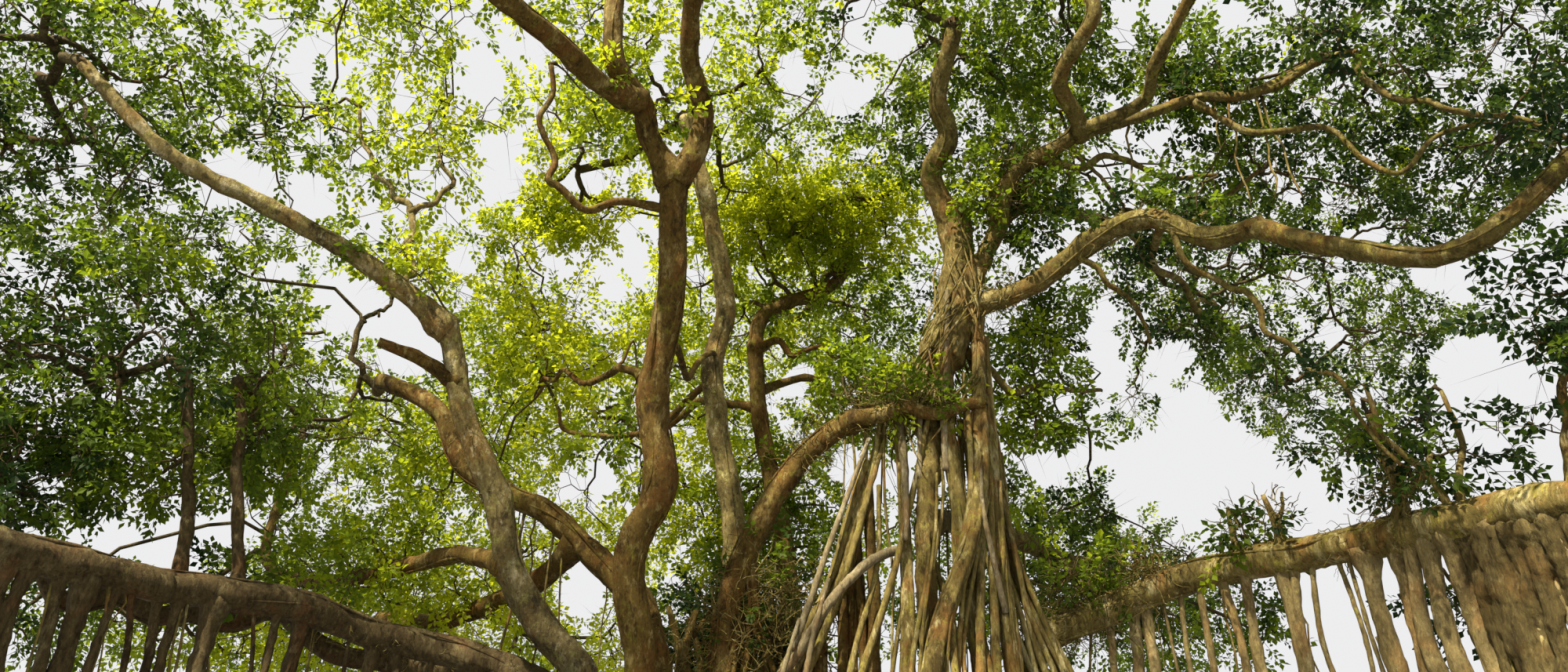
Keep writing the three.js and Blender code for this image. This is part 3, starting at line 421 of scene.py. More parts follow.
def bark_material(name, dark, middle, pale, rust, lichen, lichen_from, stretch, painted_shade_below=None):
    """Mottled bark: broad patches, rust, lichen, fine grain and cracks, a bump of its own, and any painted
    shade below a height.
    """
    material, tree, shader = colour_material(name, 0.88, 0.15)
    place = tree.nodes.new("ShaderNodeTexCoord").outputs["Object"]
    along = tree.nodes.new("ShaderNodeMapping")
    along.inputs["Scale"].default_value = (1.0, 1.0, stretch)
    tree.links.new(place, along.inputs["Vector"])
    along = along.outputs["Vector"]

    def noise(scale, detail, vector, roughness=0.6):
        made = tree.nodes.new("ShaderNodeTexNoise")
        for key, value in (("Scale", scale), ("Detail", detail), ("Roughness", roughness)):
            made.inputs[key].default_value = value
        tree.links.new(vector, made.inputs["Vector"])
        return made.outputs["Fac"]

    def greys(source, *stops):
        return ramp(tree, source, [(at, (value, value, value)) for at, value in stops])

    patches = noise(2.4, 7.0, along, 0.7)
    colour = ramp(tree, patches, [(0.36, dark), (0.46, middle), (0.55, middle), (0.66, pale)])
    rusty = greys(noise(1.7, 5.0, place), (0.52, 0.0), (0.62, 0.8))
    spots = greys(noise(4.3, 8.0, place, 0.75), (lichen_from, 0.0), (lichen_from + 0.06, 0.65))
    flakes = greys(noise(9.0, 6.0, along, 0.7), (0.56, 0.0), (0.66, 0.8))
    cracks = greys(noise(12.0, 6.0, along, 0.7), (0.38, 0.75), (0.46, 0.0))
    for share, shade in ((rusty, rust), (spots, lichen), (flakes, pale), (cracks, dark)):
        colour = mixed(tree, share, colour, shade)
    grain = greys(noise(26.0, 8.0, along, 0.75), (0.3, 0.3), (0.45, 0.8), (0.55, 1.0), (0.7, 1.8))
    colour = mixed(tree, 0.9, colour, grain, "MULTIPLY")
    # Painted shade: the colour is darkened below the given height.
    if painted_shade_below is not None:
        parts = tree.nodes.new("ShaderNodeSeparateXYZ")
        tree.links.new(place, parts.inputs["Vector"])
        rise = tree.nodes.new("ShaderNodeMapRange")
        rise.inputs["From Min"].default_value = painted_shade_below - 1.0
        rise.inputs["From Max"].default_value = painted_shade_below + 1.0
        tree.links.new(parts.outputs["Z"], rise.inputs["Value"])
        shade = greys(rise.outputs["Result"], (0.0, 0.35), (1.0, 1.0))
        colour = mixed(tree, 1.0, colour, shade, "MULTIPLY")
    tree.links.new(colour, shader.inputs["Base Color"])
    bump = tree.nodes.new("ShaderNodeBump")
    bump.inputs["Strength"].default_value = 0.8
    bump.inputs["Distance"].default_value = 0.03
    tree.links.new(noise(21.0, 9.0, along, 0.7), bump.inputs["Height"])
    tree.links.new(bump.outputs["Normal"], shader.inputs["Normal"])
    return material


def leaf_material(name, colour, glow, share):
    """A leaf that reflects one colour and lets another through."""
    material, tree, shader = colour_material(name, 0.5, 0.1)
    shader.inputs["Base Color"].default_value = (*colour, 1.0)
    through = tree.nodes.new("ShaderNodeBsdfTranslucent")
    through.inputs["Color"].default_value = (*glow, 1.0)
    both = tree.nodes.new("ShaderNodeMixShader")
    both.inputs["Fac"].default_value = share
    tree.links.new(shader.outputs["BSDF"], both.inputs[1])
    tree.links.new(through.outputs["BSDF"], both.inputs[2])
    tree.links.new(both.outputs["Shader"], tree.nodes["Material Output"].inputs["Surface"])
    return material


def unit(vectors):
    """Vectors brought to length 1."""
    return vectors / np.maximum(np.linalg.norm(vectors, axis=-1, keepdims=True), 1e-9)


def round_angles(count):
    """Angles spread evenly round a circle."""
    return np.linspace(0, 2 * np.pi, count, endpoint=False)


def turned(angle, side, up):
    """Directions at angles round a line, from two vectors across it."""
    return np.cos(angle)[..., None] * side + np.sin(angle)[..., None] * up


def ripple(points, pitch, seed, waves=10):
    """Smooth seeded unevenness with bumps about pitch apart, around 0 and rarely past 2."""
    rng = seeded(seed)
    ways = unit(rng.normal(size=(waves, 3))) * 2 * np.pi / pitch * rng.uniform(0.7, 1.4, (waves, 1))
    return np.sin(points @ ways.T + rng.uniform(0, 2 * np.pi, waves)).sum(-1) / np.sqrt(waves / 2)


# Waves of bark: depth, pitch and scale upwards. A tube's depths and pitches are in its radii.
TUBE_WAVES = [(0.065, 3.4, 1.0), (0.045, 0.9, 0.2), (0.03, 0.8, 1.0)]
SKIN_WAVES = [(1.0, 0.14, 0.2), (0.5, 0.22, 1.0), (0.5, 0.09, 1.0)]
# Knots on a tube: how far apart, half their length in radii, half their width as an angle, and their height.
KNOT_SPACING, KNOT_LENGTH, KNOT_WIDTH, KNOT_HEIGHT = 0.9, 0.9, 0.6, (0.1, 0.32)
COLLAR_REACH, FLARE_REACH = 2.4, 2.6  # in radii, along the tube


def uneven(places, waves, scale, seed):
    """Waves of bark added up."""
    return sum(depth * ripple(places * (1.0, 1.0, upwards), pitch * scale, seed + k)
               for k, (depth, pitch, upwards) in enumerate(waves))


def line_through(bends, spacing):
    """Evenly spaced points along a centripetal Catmull-Rom curve, and the distance run to each."""
    bends = np.array(bends, float)
    ends = np.vstack([2 * bends[0] - bends[1], bends, 2 * bends[-1] - bends[-2]])
    knots = np.concatenate([[0], np.cumsum(np.sqrt(np.linalg.norm(np.diff(ends, axis=0), axis=1)))])
    fine = []
    for i in range(1, len(ends) - 2):
        t = np.linspace(knots[i], knots[i + 1], BEND_STEPS, endpoint=False)[:, None]

        def blend(first, second, low, high):
            return ((high - t) * first + (t - low) * second) / (high - low)

        near = [blend(ends[k], ends[k + 1], knots[k], knots[k + 1]) for k in (i - 1, i, i + 1)]
        wide = [blend(near[k], near[k + 1], knots[i - 1 + k], knots[i + 1 + k]) for k in (0, 1)]
        fine.append(blend(wide[0], wide[1], knots[i], knots[i + 1]))
    fine.append(bends[-1:])
    fine = np.vstack(fine)
    run = np.concatenate([[0], np.cumsum(np.linalg.norm(np.diff(fine, axis=0), axis=1))])
    at = np.linspace(0, run[-1], max(3, round(run[-1] / spacing) + 1))
    return np.column_stack([np.interp(at, run, fine[:, k]) for k in range(3)]), at


def points_along(limb, spacing):
    """The points of a limb's line."""
    return line_through(WOOD[limb][0], spacing)[0]


def frames_along(points):
    """The heading at each point of a line, and two vectors across it that turn as little as they can."""
    heading = unit(np.gradient(points, axis=0))
    side = np.zeros_like(points)
    start = np.cross(heading[0], (0.0, 1.0, 0.0) if abs(heading[0][2]) > 0.8 else (0.0, 0.0, 1.0))
    for i, along in enumerate(heading):
        start = start - along * (start @ along)
        start = start / np.linalg.norm(start)
        side[i] = start
    return heading, side, np.cross(heading, side)


class Limb:
    """A limb's centre line, with its directions and radius at each point."""

    def __init__(self, bends, girth, spacing):
        self.points, self.run = line_through(bends, spacing)
        self.heading, self.side, self.up = frames_along(self.points)
        self.radii = np.interp(self.run, (0, self.run[-1]), girth) / 2

    def skin(self, index, angle, lift=1.0):
        """The place on the bark at a point's index and an angle round the limb."""
        out = turned(angle, self.side[index], self.up[index])
        return self.points[index] + out * (self.radii[index] * lift)[..., None]


class Pile:
    """Corners and faces of many closed shapes gathered for one mesh."""

    def __init__(self):
        self.corners = []
        self.faces = []
        self.count = 0

    def add(self, corners, faces):
        self.corners.append(np.asarray(corners, float).reshape(-1, 3))
        self.faces.extend(np.asarray(group) + self.count for group in faces)
        self.count += len(self.corners[-1])

    def mesh(self, name):
        corners = np.vstack(self.corners)
        corners[:, 2] = np.maximum(corners[:, 2], 0)
        sizes = np.concatenate([np.full(len(group), group.shape[1]) for group in self.faces])
        loops = np.concatenate([group.ravel() for group in self.faces])
        made = bpy.data.meshes.new(name)
        made.vertices.add(len(corners))
        made.vertices.foreach_set("co", corners.astype(np.float32).ravel())
        made.loops.add(len(loops))
        made.loops.foreach_set("vertex_index", loops.astype(np.int32))
        made.polygons.add(len(sizes))
        made.polygons.foreach_set("loop_start", (np.cumsum(sizes) - sizes).astype(np.int32))
        made.update(calc_edges=True)
        made.validate()
        return made


def gathered(name, *adders):
    """A mesh of all that some functions add to one pile."""
    pile = Pile()
    for add in adders:
        add(pile)
    return pile.mesh(name)


def placed(name, data):
    """A new object in the scene."""
    made = bpy.data.objects.new(name, data)
    bpy.context.scene.collection.objects.link(made)
    return made


def piece(mesh, material, replaced=(), smooth=True):
    """A visible piece on the tree's one body, named after its mesh."""
    made = placed(mesh.name, mesh)
    mesh.materials.clear()
    mesh.materials.append(material)
    mesh.polygons.foreach_set("use_smooth", np.full(len(mesh.polygons), smooth))
    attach(made, "root")
    if replaced:
        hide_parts(*replaced)


def copies(faces, corners, count):
    """The faces of count like shapes that have so many corners each."""
    return (faces[None] + (np.arange(count) * corners)[:, None, None]).reshape(-1, faces.shape[-1])


def tube_faces(rings, sides, count=1):
    """The walls and end caps of count tubes whose corners lie ring after ring, tube after tube."""
    rows = np.arange(rings - 1)[:, None] * sides
    this = np.arange(sides)[None, :]
    following = (this + 1) % sides
    walls = np.stack([rows + this, rows + following, rows + sides + following, rows + sides + this], -1)
    ends = np.stack([this[0][::-1], (rings - 1) * sides + this[0]])
    return [copies(group, rings * sides, count) for group in (walls.reshape(-1, 4), ends)]


def add_tube(pile, points, radii, sides, swell=1.0):
    """A closed tube round a line of points. swell is a factor on the radius for each point and side."""
    _, side, up = frames_along(points)
    ring = turned(round_angles(sides), side[:, None], up[:, None])
    reach = np.asarray(radii, float)[:, None] * np.ones(sides) * swell
    pile.add(points[:, None] + ring * reach[..., None], tube_faces(len(points), sides))


def bark_tube(pile, bends, girth, seed, sides=LIMB_SIDES, collar=0.5, rough=1.0, step=RING_STEP, flare=0.0):
    """A limb or root with lumps, ridges, knots, a collar where it leaves its parent and a flared far end."""
    points, run = line_through(bends, step)
    radii = np.interp(run, (0, run[-1]), girth) / 2
    radii = radii * (1 + collar * np.exp(-((run / (COLLAR_REACH * radii[0])) ** 2)))
    radii = radii * (1 + flare * np.exp(-(((run[-1] - run) / (FLARE_REACH * radii[-1])) ** 2)))
    turn = round_angles(sides)
    size = girth[0] / 2
    place = np.empty((len(run), sides, 3))
    place[..., :2] = np.stack([np.cos(turn), np.sin(turn)], -1) * size
    place[..., 2] = run[:, None]
    swell = 1 + rough * uneven(place, TUBE_WAVES, size, seed)
    knots = seeded(seed + 3)
    for _ in range(int(run[-1] / KNOT_SPACING * rough)):
        at, facing = knots.uniform(0.2, run[-1]), knots.uniform(0, 2 * np.pi)
        off = (run[:, None] - at) / (KNOT_LENGTH * size)
        aside = np.angle(np.exp(1j * (turn - facing)))[None] / KNOT_WIDTH
        swell = swell + knots.uniform(*KNOT_HEIGHT) * np.exp(-(off ** 2) - aside ** 2)
    add_tube(pile, points, radii, sides, swell)


def clinging_roots(pile, bends, girth, count, seed, thickness):
    """Thin roots that run along a bough's surface and cross it slowly."""
    rng = seeded(seed)
    limb = Limb(bends, girth, 0.14)
    last = len(limb.run) - 1
    for _ in range(count):
        low, high = np.sort(rng.uniform(0, 1, 2))
        span = np.arange(int(low * last), min(last, int(low * last) + 4 + int((high - low) * last)) + 1)
        angle = rng.uniform(0, 2 * np.pi) + rng.uniform(-0.5, 0.5) * limb.run[span]
        angle = angle + 0.35 * np.sin(limb.run[span] * rng.uniform(1.0, 2.2) + rng.uniform(0, 6))
        thick = rng.uniform(*thickness)
        if len(span) > 4:
            ends = np.clip(np.minimum(span - span[0], span[-1] - span) / 3.0, 0.25, 1)
            add_tube(pile, limb.skin(span, angle, 1.03), thick * ends, 6)


def wound_strands(pile, bends, girth, count, seed, lift, share):
    """Stout strands wound round a root's line."""
    rng = seeded(seed)
    limb = Limb(bends, girth, 0.1)
    index = np.arange(len(limb.run))
    for k in range(count):
        span = index[int(rng.uniform(0, 0.2) * len(index)):int(rng.uniform(0.75, 1) * len(index))]
        angle = 2 * np.pi * (k + rng.uniform(-0.3, 0.3)) / count + rng.uniform(-0.35, 0.35) * limb.run[span]
        angle = angle + 0.4 * np.sin(limb.run[span] * rng.uniform(0.8, 1.8) + rng.uniform(0, 6))
        route = limb.skin(span, angle, lift * rng.uniform(0.85, 1.2))[::5]
        thick = rng.uniform(*share)
        widths = thick * 2 * limb.radii[span[0]], thick * 2 * limb.radii[span[-1]]
        bark_tube(pile, route, widths, seed + 11 * k, sides=9, collar=0, step=0.1)


def fused(pile, name, voxel, low=None, high=None, rounds=3):
    """The pile's shapes joined into one skin of even faces, softened where they meet and cut flat."""
    rough = placed(name + "_rough", pile.mesh(name + "_rough"))
    remesh = rough.modifiers.new("fuse", "REMESH")
    remesh.mode = "VOXEL"
    remesh.voxel_size = voxel
    smooth = rough.modifiers.new("soften", "SMOOTH")
    smooth.factor = 0.5
    smooth.iterations = rounds
    skin = bpy.data.meshes.new_from_object(rough.evaluated_get(bpy.context.evaluated_depsgraph_get()))
    skin.name = name
    bpy.data.objects.remove(rough)
    work = bmesh.new()
    work.from_mesh(skin)
    for height, normal in ((low, (0, 0, -1)), (high, (0, 0, 1))):
        if height is not None:
            everything = work.verts[:] + work.edges[:] + work.faces[:]
            cut = bmesh.ops.bisect_plane(
                work, geom=everything, plane_co=(0, 0, height), plane_no=normal, clear_outer=True)
            rim = [e for e in cut["geom_cut"] if isinstance(e, bmesh.types.BMEdge)]
            bmesh.ops.holes_fill(work, edges=rim)
    work.to_mesh(skin)
    work.free()
    return skin


def roughened(mesh, depth, seed):
    """Bark relief on a fused skin: ridges along the stem and finer bumps, none of it below the ground."""
    count = len(mesh.vertices)
    places = np.empty(count * 3, np.float32)
    normals = np.empty(count * 3, np.float32)
    mesh.vertices.foreach_get("co", places)
    mesh.vertices.foreach_get("normal", normals)
    places, normals = places.reshape(-1, 3).astype(float), normals.reshape(-1, 3).astype(float)
    lift = depth * uneven(places, SKIN_WAVES, 1.0, seed)
    lift[places[:, 2] < 0.02] = 0
    moved = places + normals * lift[:, None]
    moved[:, 2] = np.maximum(moved[:, 2], 0)
    mesh.vertices.foreach_set("co", moved.astype(np.float32).ravel())
    mesh.update()
    return mesh


def foot_ring(turn, share, spread=1.0, inset=0.0):
    """Places on the foot's oval at a share of its height, which dips between the stems."""
    half = [top + (wide * spread - top) * (1 - share) ** FOOT["spread"] - inset
            for wide, top in zip(FOOT["half"], FOOT["top_half"])]
    half = [size * (1 - 0.8 * np.clip(share, 0, 1) ** 4) ** 0.5 for size in half]
    x = FOOT["shift"] * share + np.cos(turn) * half[0]
    depth, middle, width = FOOT["dip"]
    height = FOOT["height"] * (1 - depth * np.exp(-(((x - middle) / width) ** 2)))
    return np.stack([x, np.sin(turn) * half[1], share * height], -1)


def foot_roots(pile):
    """Root ridges of mixed sizes that run down from the stems and spread over the ground."""
    rng = seeded(5)
    for k in range(FOOT["roots"]):
        turn = 2 * np.pi * (k + rng.uniform(-0.5, 0.5)) / FOOT["roots"]
        rim = foot_ring(turn, 0.0, rng.uniform(0.72, 1.08))
        foot = STEM_FEET[np.abs(STEM_FEET[:, 0] - 0.7 * rim[0] + rng.uniform(-0.5, 0.5)).argmin()]
        stem = foot[:2] + rng.uniform(0.1, 0.3) * unit(rim[:2] - foot[:2])
        top = (*stem, rng.uniform(0.5, 1.0) * foot[2])
        shares = np.linspace(0, 1.05, 8)
        flow = (shares ** rng.uniform(1.5, 2.8))[:, None]
        route = np.column_stack([top[:2] + (rim[:2] - top[:2]) * flow, top[2] * (1 - shares)])
        route[1:] += rng.normal(0, 0.05, (7, 3)) * (1, 1, 0)
        thick = 0.13 + 0.36 * rng.uniform() ** 2
        bark_tube(pile, route, (thick * 0.6, thick * 1.2), 100 + k, sides=12, collar=0, step=0.16)


def foot_core(pile):
    """The mass of wood inside the root ridges."""
    turn = round_angles(FOOT_SIDES)
    wavy = 0.82 + 0.05 * np.cos(7 * turn)
    rings = [foot_ring(turn, share, wavy, 0.12) for share in np.linspace(-0.12, 1, 12)]
    pile.add(rings, tube_faces(len(rings), len(turn)))


def ground_roots(pile, foot, girth, seed):
    """Short roots that leave a pillar's foot and sink into the ground."""
    rng = seeded(seed)
    for k in range(rng.integers(3, 6)):
        turn = rng.uniform(0, 2 * np.pi)
        reach = girth * rng.uniform(1.6, 3.4)
        out = np.array([np.cos(turn), np.sin(turn), 0])
        route = [foot + (0, 0, girth * 1.6), foot + out * reach * 0.25 + (0, 0, girth * 0.7),
                 foot + out * reach * 0.6 + (0, 0, girth * 0.1), foot + out * reach - (0, 0, girth * 0.3)]
        bark_tube(pile, route, (girth * 0.5, girth * 0.3), seed + k, sides=8, collar=0, step=0.1)


def sleeves(pile, names, length=0.9):
    """Short flared starts of the limbs that leave the trunk, to be fused with it."""
    for name in names:
        bends, girth = LIMBS[name]
        points, run = line_through(bends, 0.1)
        keep = run <= length
        share = run[keep] / length
        radii = girth[0] / 2 * (0.93 + 0.6 * (1 - share) ** 2 * np.minimum(4 * share, 1))
        add_tube(pile, points[keep], radii, 14)


def at_height(line, level):
    """The point of a line of points that lies nearest a height."""
    return line[np.abs(line[:, 2] - level).argmin()]


def bundle_roots(pile):
    """Roots between the named ones that complete the bundle round the trunk."""
    rng = seeded(11)
    lines = [line_through(bends, 0.4)[0] for bends, _ in TRUNK_ROOTS.values()]
    for k in range(BUNDLE_ROOTS):
        first, second = (lines[i] for i in rng.integers(len(lines), size=2))
        share = rng.uniform(0.1, 0.9)
        levels = np.linspace(rng.uniform(7.0, 9.4), rng.uniform(-0.2, 0.4), 7)
        route = []
        for level in levels:
            middle = at_height(first, level) * (1 - share) + at_height(second, level) * share
            route.append((middle[0] + rng.normal(0, 0.06), middle[1] + rng.normal(-0.03, 0.1), level))
        thick = rng.uniform(0.04, 0.13)
        bark_tube(pile, route, (thick * 0.7, thick * 1.3), 300 + k, sides=10, collar=0.2, step=0.14)


def stem_roots(pile):
    """Crooked roots that fill the space under the arching bough, down to the foot."""
    rng = seeded(37)
    lines = [points_along(name, 0.2) for name in ("arching_bough", "rear_stem", "back_stem")]
    for k in range(STOUT_STEM_ROOTS):
        x, y = rng.uniform(-2.2, -0.3), rng.uniform(0.2, 1.1)
        levels = np.linspace(rng.uniform(4.6, 5.8), 1.2, 7)
        route = np.column_stack([x + rng.normal(0, 0.14, 7), y + rng.normal(0, 0.12, 7), levels])
        thick = rng.uniform(0.12, 0.26)
        bark_tube(pile, route, (thick * 0.35, thick * 1.4), 730 + k, sides=10, collar=0, step=0.14)
    for k in range(THIN_STEM_ROOTS):
        top = at_height(lines[k % 3], rng.uniform(4.2, 6.8))
        foot = (top[0] + rng.uniform(-0.9, 0.9), top[1] * 0.4 + rng.uniform(-0.4, 0.3), 1.3)
        share = np.linspace(0, 1, 9)[:, None]
        stray = rng.normal(0, 0.09, (9, 3)) * np.minimum(share * 4, 1)
        route = top * (1 - share) + np.array(foot) * share + stray
        thick = rng.uniform(0.03, 0.14)
        bark_tube(pile, route, (thick, thick * 1.4), 600 + k, sides=8, collar=0.3, step=0.12)
    slanting, _ = line_through(TRUNK_ROOTS["slanting_root"][0], 0.1)
    for k in range(PROP_ROOTS):
        top = slanting[np.abs(slanting[:, 0] - rng.uniform(-0.7, 0.5)).argmin()]
        top = top + (0, rng.uniform(0.0, 0.3), 0)
        stray = rng.normal(0, 0.05, (8, 2)) * np.linspace(0, 1, 8)[:, None] ** 0.5
        route = np.column_stack([top[:2] + stray, np.linspace(top[2], 0.9, 8)])
        thick = rng.uniform(0.06, 0.15)
        bark_tube(pile, route, (thick, thick * 1.3), 670 + k, sides=9, collar=0, step=0.14)


TRUNK_LIMBS = ["centre_stem", "left_stem", "low_left_bough", "crossing_bough", "arching_bough", "rear_stem",
               "back_stem", "low_right_bough", "upper_left_limb", "upper_right_limb", "right_bough",
               "rear_low_bough"]


def down_to_earth(bends):
    """The bends carried on in the same direction until they are below the ground."""
    last, before = np.array(bends[-1]), np.array(bends[-2])
    return [*bends, tuple(last + (last - before) * (last[2] + 0.4) / (before[2] - last[2]))]


def build_trunk(bark, root, pale):
    """The fused foot and trunk, and the separate roots that wrap it."""
    wood = Pile()
    for k, (bends, girth) in enumerate(TRUNK_TUBES):
        bark_tube(wood, bends, girth, 20 + k, collar=0)
    sleeves(wood, TRUNK_LIMBS)
    foot_core(wood)
    foot_roots(wood)
    trunk = roughened(fused(wood, "trunk_skin", VOXEL_TRUNK, low=FOOT_TOP - 0.05), 0.007, 61)
    piece(trunk, bark, ["trunk"])
    foot = roughened(fused(wood, "foot_skin", VOXEL_FOOT, low=0.0, high=FOOT_TOP, rounds=1), 0.009, 61)
    piece(foot, bark, ["trunk"])
    roots = Pile()
    for k, (name, (bends, girth)) in enumerate(TRUNK_ROOTS.items()):
        core, strands, lift, share = WINDINGS[name]
        bends = down_to_earth(bends) if bends[-1][2] > 0 else bends
        bark_tube(roots, bends, (girth[0] * core, girth[1] * core), 40 + k, sides=16, collar=0.25, step=0.08)
        wound_strands(roots, bends, girth, strands, 400 + k, lift, share)
        clinging_roots(roots, bends, (girth[0] * core, girth[1] * core), 5, 50 + k, (0.008, 0.022))
    bundle_roots(roots)
    piece(roots.mesh("trunk_roots"), root, list(TRUNK_ROOTS))
    roots = Pile()
    # These roots take a paler bark whose colour is painted sunlight.
    for k, (bends, girth) in enumerate(PAINTED_SUNLIT_ROOTS):
        bark_tube(roots, bends, girth, 450 + 5 * k, sides=12, collar=0, step=0.06)
    piece(roots.mesh("painted_sunlit_roots"), pale)


def limb_group(name, limbs, bark, first_seed):
    """Some limbs as one piece, each with its clinging roots."""
    wood = Pile()
    for k, limb in enumerate(limbs):
        bends, girth = WOOD[limb]
        seed = first_seed + 7 * k
        stout = limb in LIMBS
        sides = LIMB_SIDES if stout else 10
        collar = 0.0 if limb in TRUNK_LIMBS or limb.endswith("_outer") else 0.45
        bark_tube(wood, bends, girth, seed, sides, collar)
        if limb.startswith("low_"):
            clinging_roots(wood, bends, girth, 7, seed, (0.012, 0.035))
        elif stout:
            clinging_roots(wood, bends, girth, 4, seed, (0.01, 0.022))
    piece(wood.mesh(name), bark, [limb for limb in limbs if limb in LIMBS])


# The bark and the limbs of each piece. The one with no list has all limbs that the others leave.
LIMB_GROUPS = {
    "left_limbs": ("brown", []),
    "right_limbs": ("olive", [
        "upper_left_limb", "upper_right_limb", "upper_right_arm", "long_right_arm", "rear_right_bough",
        "right_bough", "right_bough_outer", "rear_low_bough", "long_arm_tip", "long_arm_low_branch",
        "right_bough_side_branch", "hanging_crook", "upper_branch", "short_hanging_branch",
        "right_bough_rear_branch", "column_side_branch"]),
    "low_right_limbs": ("root", [
        "low_right_bough", "low_right_bough_outer", "right_shoot", "bough_stub_1", "bough_stub_2",
        "bough_stub_2_arm", "bough_knot", "bough_shoot_left", "bough_shoot_right", "bough_shoot_outer"]),
    # These limbs take the dark bark, which is painted shade.
    "low_left_limbs": ("dark", [
        "low_left_bough", "low_left_bough_outer", "low_left_back_bough", "left_shoot", "left_inner_shoot"]),
    # These limbs take the pale bark, partly painted sunlight, with painted shade low down.
    "pale_painted_sunlit_limbs": ("pale", [
        "rear_stem", "left_stem", "left_stem_long_limb", "candelabra", "candelabra_right"]),
}


def build_limbs():
    """Stems and boughs, grouped by the look of their bark."""
    listed = sum((limbs for _, limbs in LIMB_GROUPS.values()), [])
    others = [name for name in WOOD if name not in listed]
    for k, (name, (bark, limbs)) in enumerate(LIMB_GROUPS.items()):
        limb_group(name, limbs or others, barks[bark], 500 + 300 * k)
    piece(gathered("stem_roots", stem_roots), barks["brown"])


def pillar_bends(bough, share, lean_x, lean_y, rng):
    """A pillar root's line from inside its bough down to the ground."""
    line = points_along(bough, 0.05)
    top = line[round(share * (len(line) - 1))] - (0, 0, 0.08)
    bends = [tuple(top)]
    for lean, height in ((0.2, 0.82), (0.35, 0.6), (0.6, 0.4), (0.8, 0.2), (1.0, 0.0)):
        stray = 0.03 + 0.08 * lean
        bends.append((top[0] + lean_x * lean + rng.normal(0, stray),
                      top[1] + lean_y * lean * 1.6 + rng.normal(0, stray * 1.6), top[2] * height))
    return bends


def build_web(bark):
    """The broad pillars at the right bough's end, fused into one wall of roots."""
    wood = Pile()
    rng = seeded(33)
    for k, (share, girth, *lean) in enumerate(WEB):
        bends = np.array(pillar_bends("low_right_bough_outer", share, *lean, rng)) + WEB_SETBACK
        bark_tube(wood, bends, (girth, girth * 1.1), 1300 + 5 * k, sides=14, collar=0.3, rough=1.4, flare=0.4)
    piece(roughened(fused(wood, "right_web", VOXEL_WEB, low=0.0), 0.008, 91), bark)


def build_pillars(side, bark):
    """Pillar roots under one side's low boughs, with thinner roots twined round the thick ones."""
    wood = Pile()
    rng = seeded(31)
    for bough, row in PILLARS.items():
        if side not in bough:
            continue
        for k, (share, girth, *lean) in enumerate(row):
            bends = pillar_bends(bough, share, *lean, rng)
            widths = (girth * 0.8, girth * rng.uniform(0.95, 1.15))
            seed = 1100 + 9 * k + len(bough)
            bark_tube(wood, bends, widths, seed, sides=14, collar=0.8, rough=1.4, flare=0.35)
            if girth > WITH_GROUND_ROOTS:
                ground_roots(wood, np.array(bends[-1]), girth, seed + 40)
            if girth > WITH_STRANDS:
                wound_strands(wood, bends, widths, 2, seed, 0.75, (0.2, 0.4))
            elif girth > WITH_GROUND_ROOTS and rng.uniform() < 0.35:
                fork = bends[:2] + [np.array(bend) + rng.normal(0, 0.16, 3) * (1, 1, 0) for bend in bends[2:]]
                bark_tube(wood, fork, (girth * 0.5, girth * 0.6), seed + 4, sides=9, collar=0, flare=0.5)
    replaced = [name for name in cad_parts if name.startswith(f"low_{side}") and "_pillar_" in name]
    piece(wood.mesh(f"{side}_pillars"), bark, replaced)


def hanging_strands(pile):
    """Slender roots that hang from the limbs, some of them down to the ground."""
    rng = seeded(41)
    for name, (low, high, count, tip_low, tip_high) in HANGING.items():
        line = points_along(name, 0.05)
        for _ in range(count):
            top = line[round(rng.uniform(low, high) * (len(line) - 1))] + (0, rng.uniform(-0.06, 0.06), -0.08)
            tip = rng.uniform(tip_low, tip_high) if rng.uniform() < 0.6 else tip_low
            drift = rng.normal(0, 0.12, 2)
            share = np.linspace(0, 1, 7)[1:, None]
            aside = top[:2] + drift * share + rng.normal(0, 0.035, (6, 2))
            bends = np.column_stack([aside, top[2] + (tip - top[2]) * share])
            points, run = line_through([top, *bends], 0.2)
            taper = np.interp(run / run[-1], (0, 0.05, 0.85, 1), (1.6, 1, 0.9, 0.3))
            add_tube(pile, points, rng.uniform(0.007, 0.022) * taper, 5)


def neck_net(pile):
    """Thin roots that wind round the trunk's neck and run down from it."""
    rng = seeded(43)
    for k in range(NECK_ROOTS):
        s = np.linspace(0, 1, 14)
        angle = rng.uniform(0, 2 * np.pi) + s * rng.uniform(0.3, 1.9) * rng.choice((-1, 1))
        height = rng.uniform(8.6, 10.2) + rng.choice((-1, 1)) * rng.uniform(0.5, 1.6) * s
        middle = np.interp(height, *NECK_MIDDLE)
        reach = np.interp(height, *NECK_REACH) * (1 + 0.08 * np.sin(9 * s + k))
        route = np.stack([middle + np.cos(angle) * reach, np.sin(angle) * reach * 0.9 - 0.08, height], -1)
        add_tube(pile, route, rng.uniform(0.007, 0.02) * np.clip(np.minimum(s, 1 - s) * 8, 0.3, 1), 5)


def add_wanderer(pile, rng, spot, way, stray, sink, reach, thickest):
    """A fine stem that starts at a spot in one direction and then wanders."""
    route = [spot]
    for _ in range(7):
        way = unit(unit(way) + rng.normal(0, stray, 3) - (0, 0, sink))
        route.append(route[-1] + way * reach * rng.uniform(0.08, 0.2))
    add_tube(pile, np.array(route), rng.uniform(0.004, thickest) * np.linspace(1, 0.4, 8), 3)


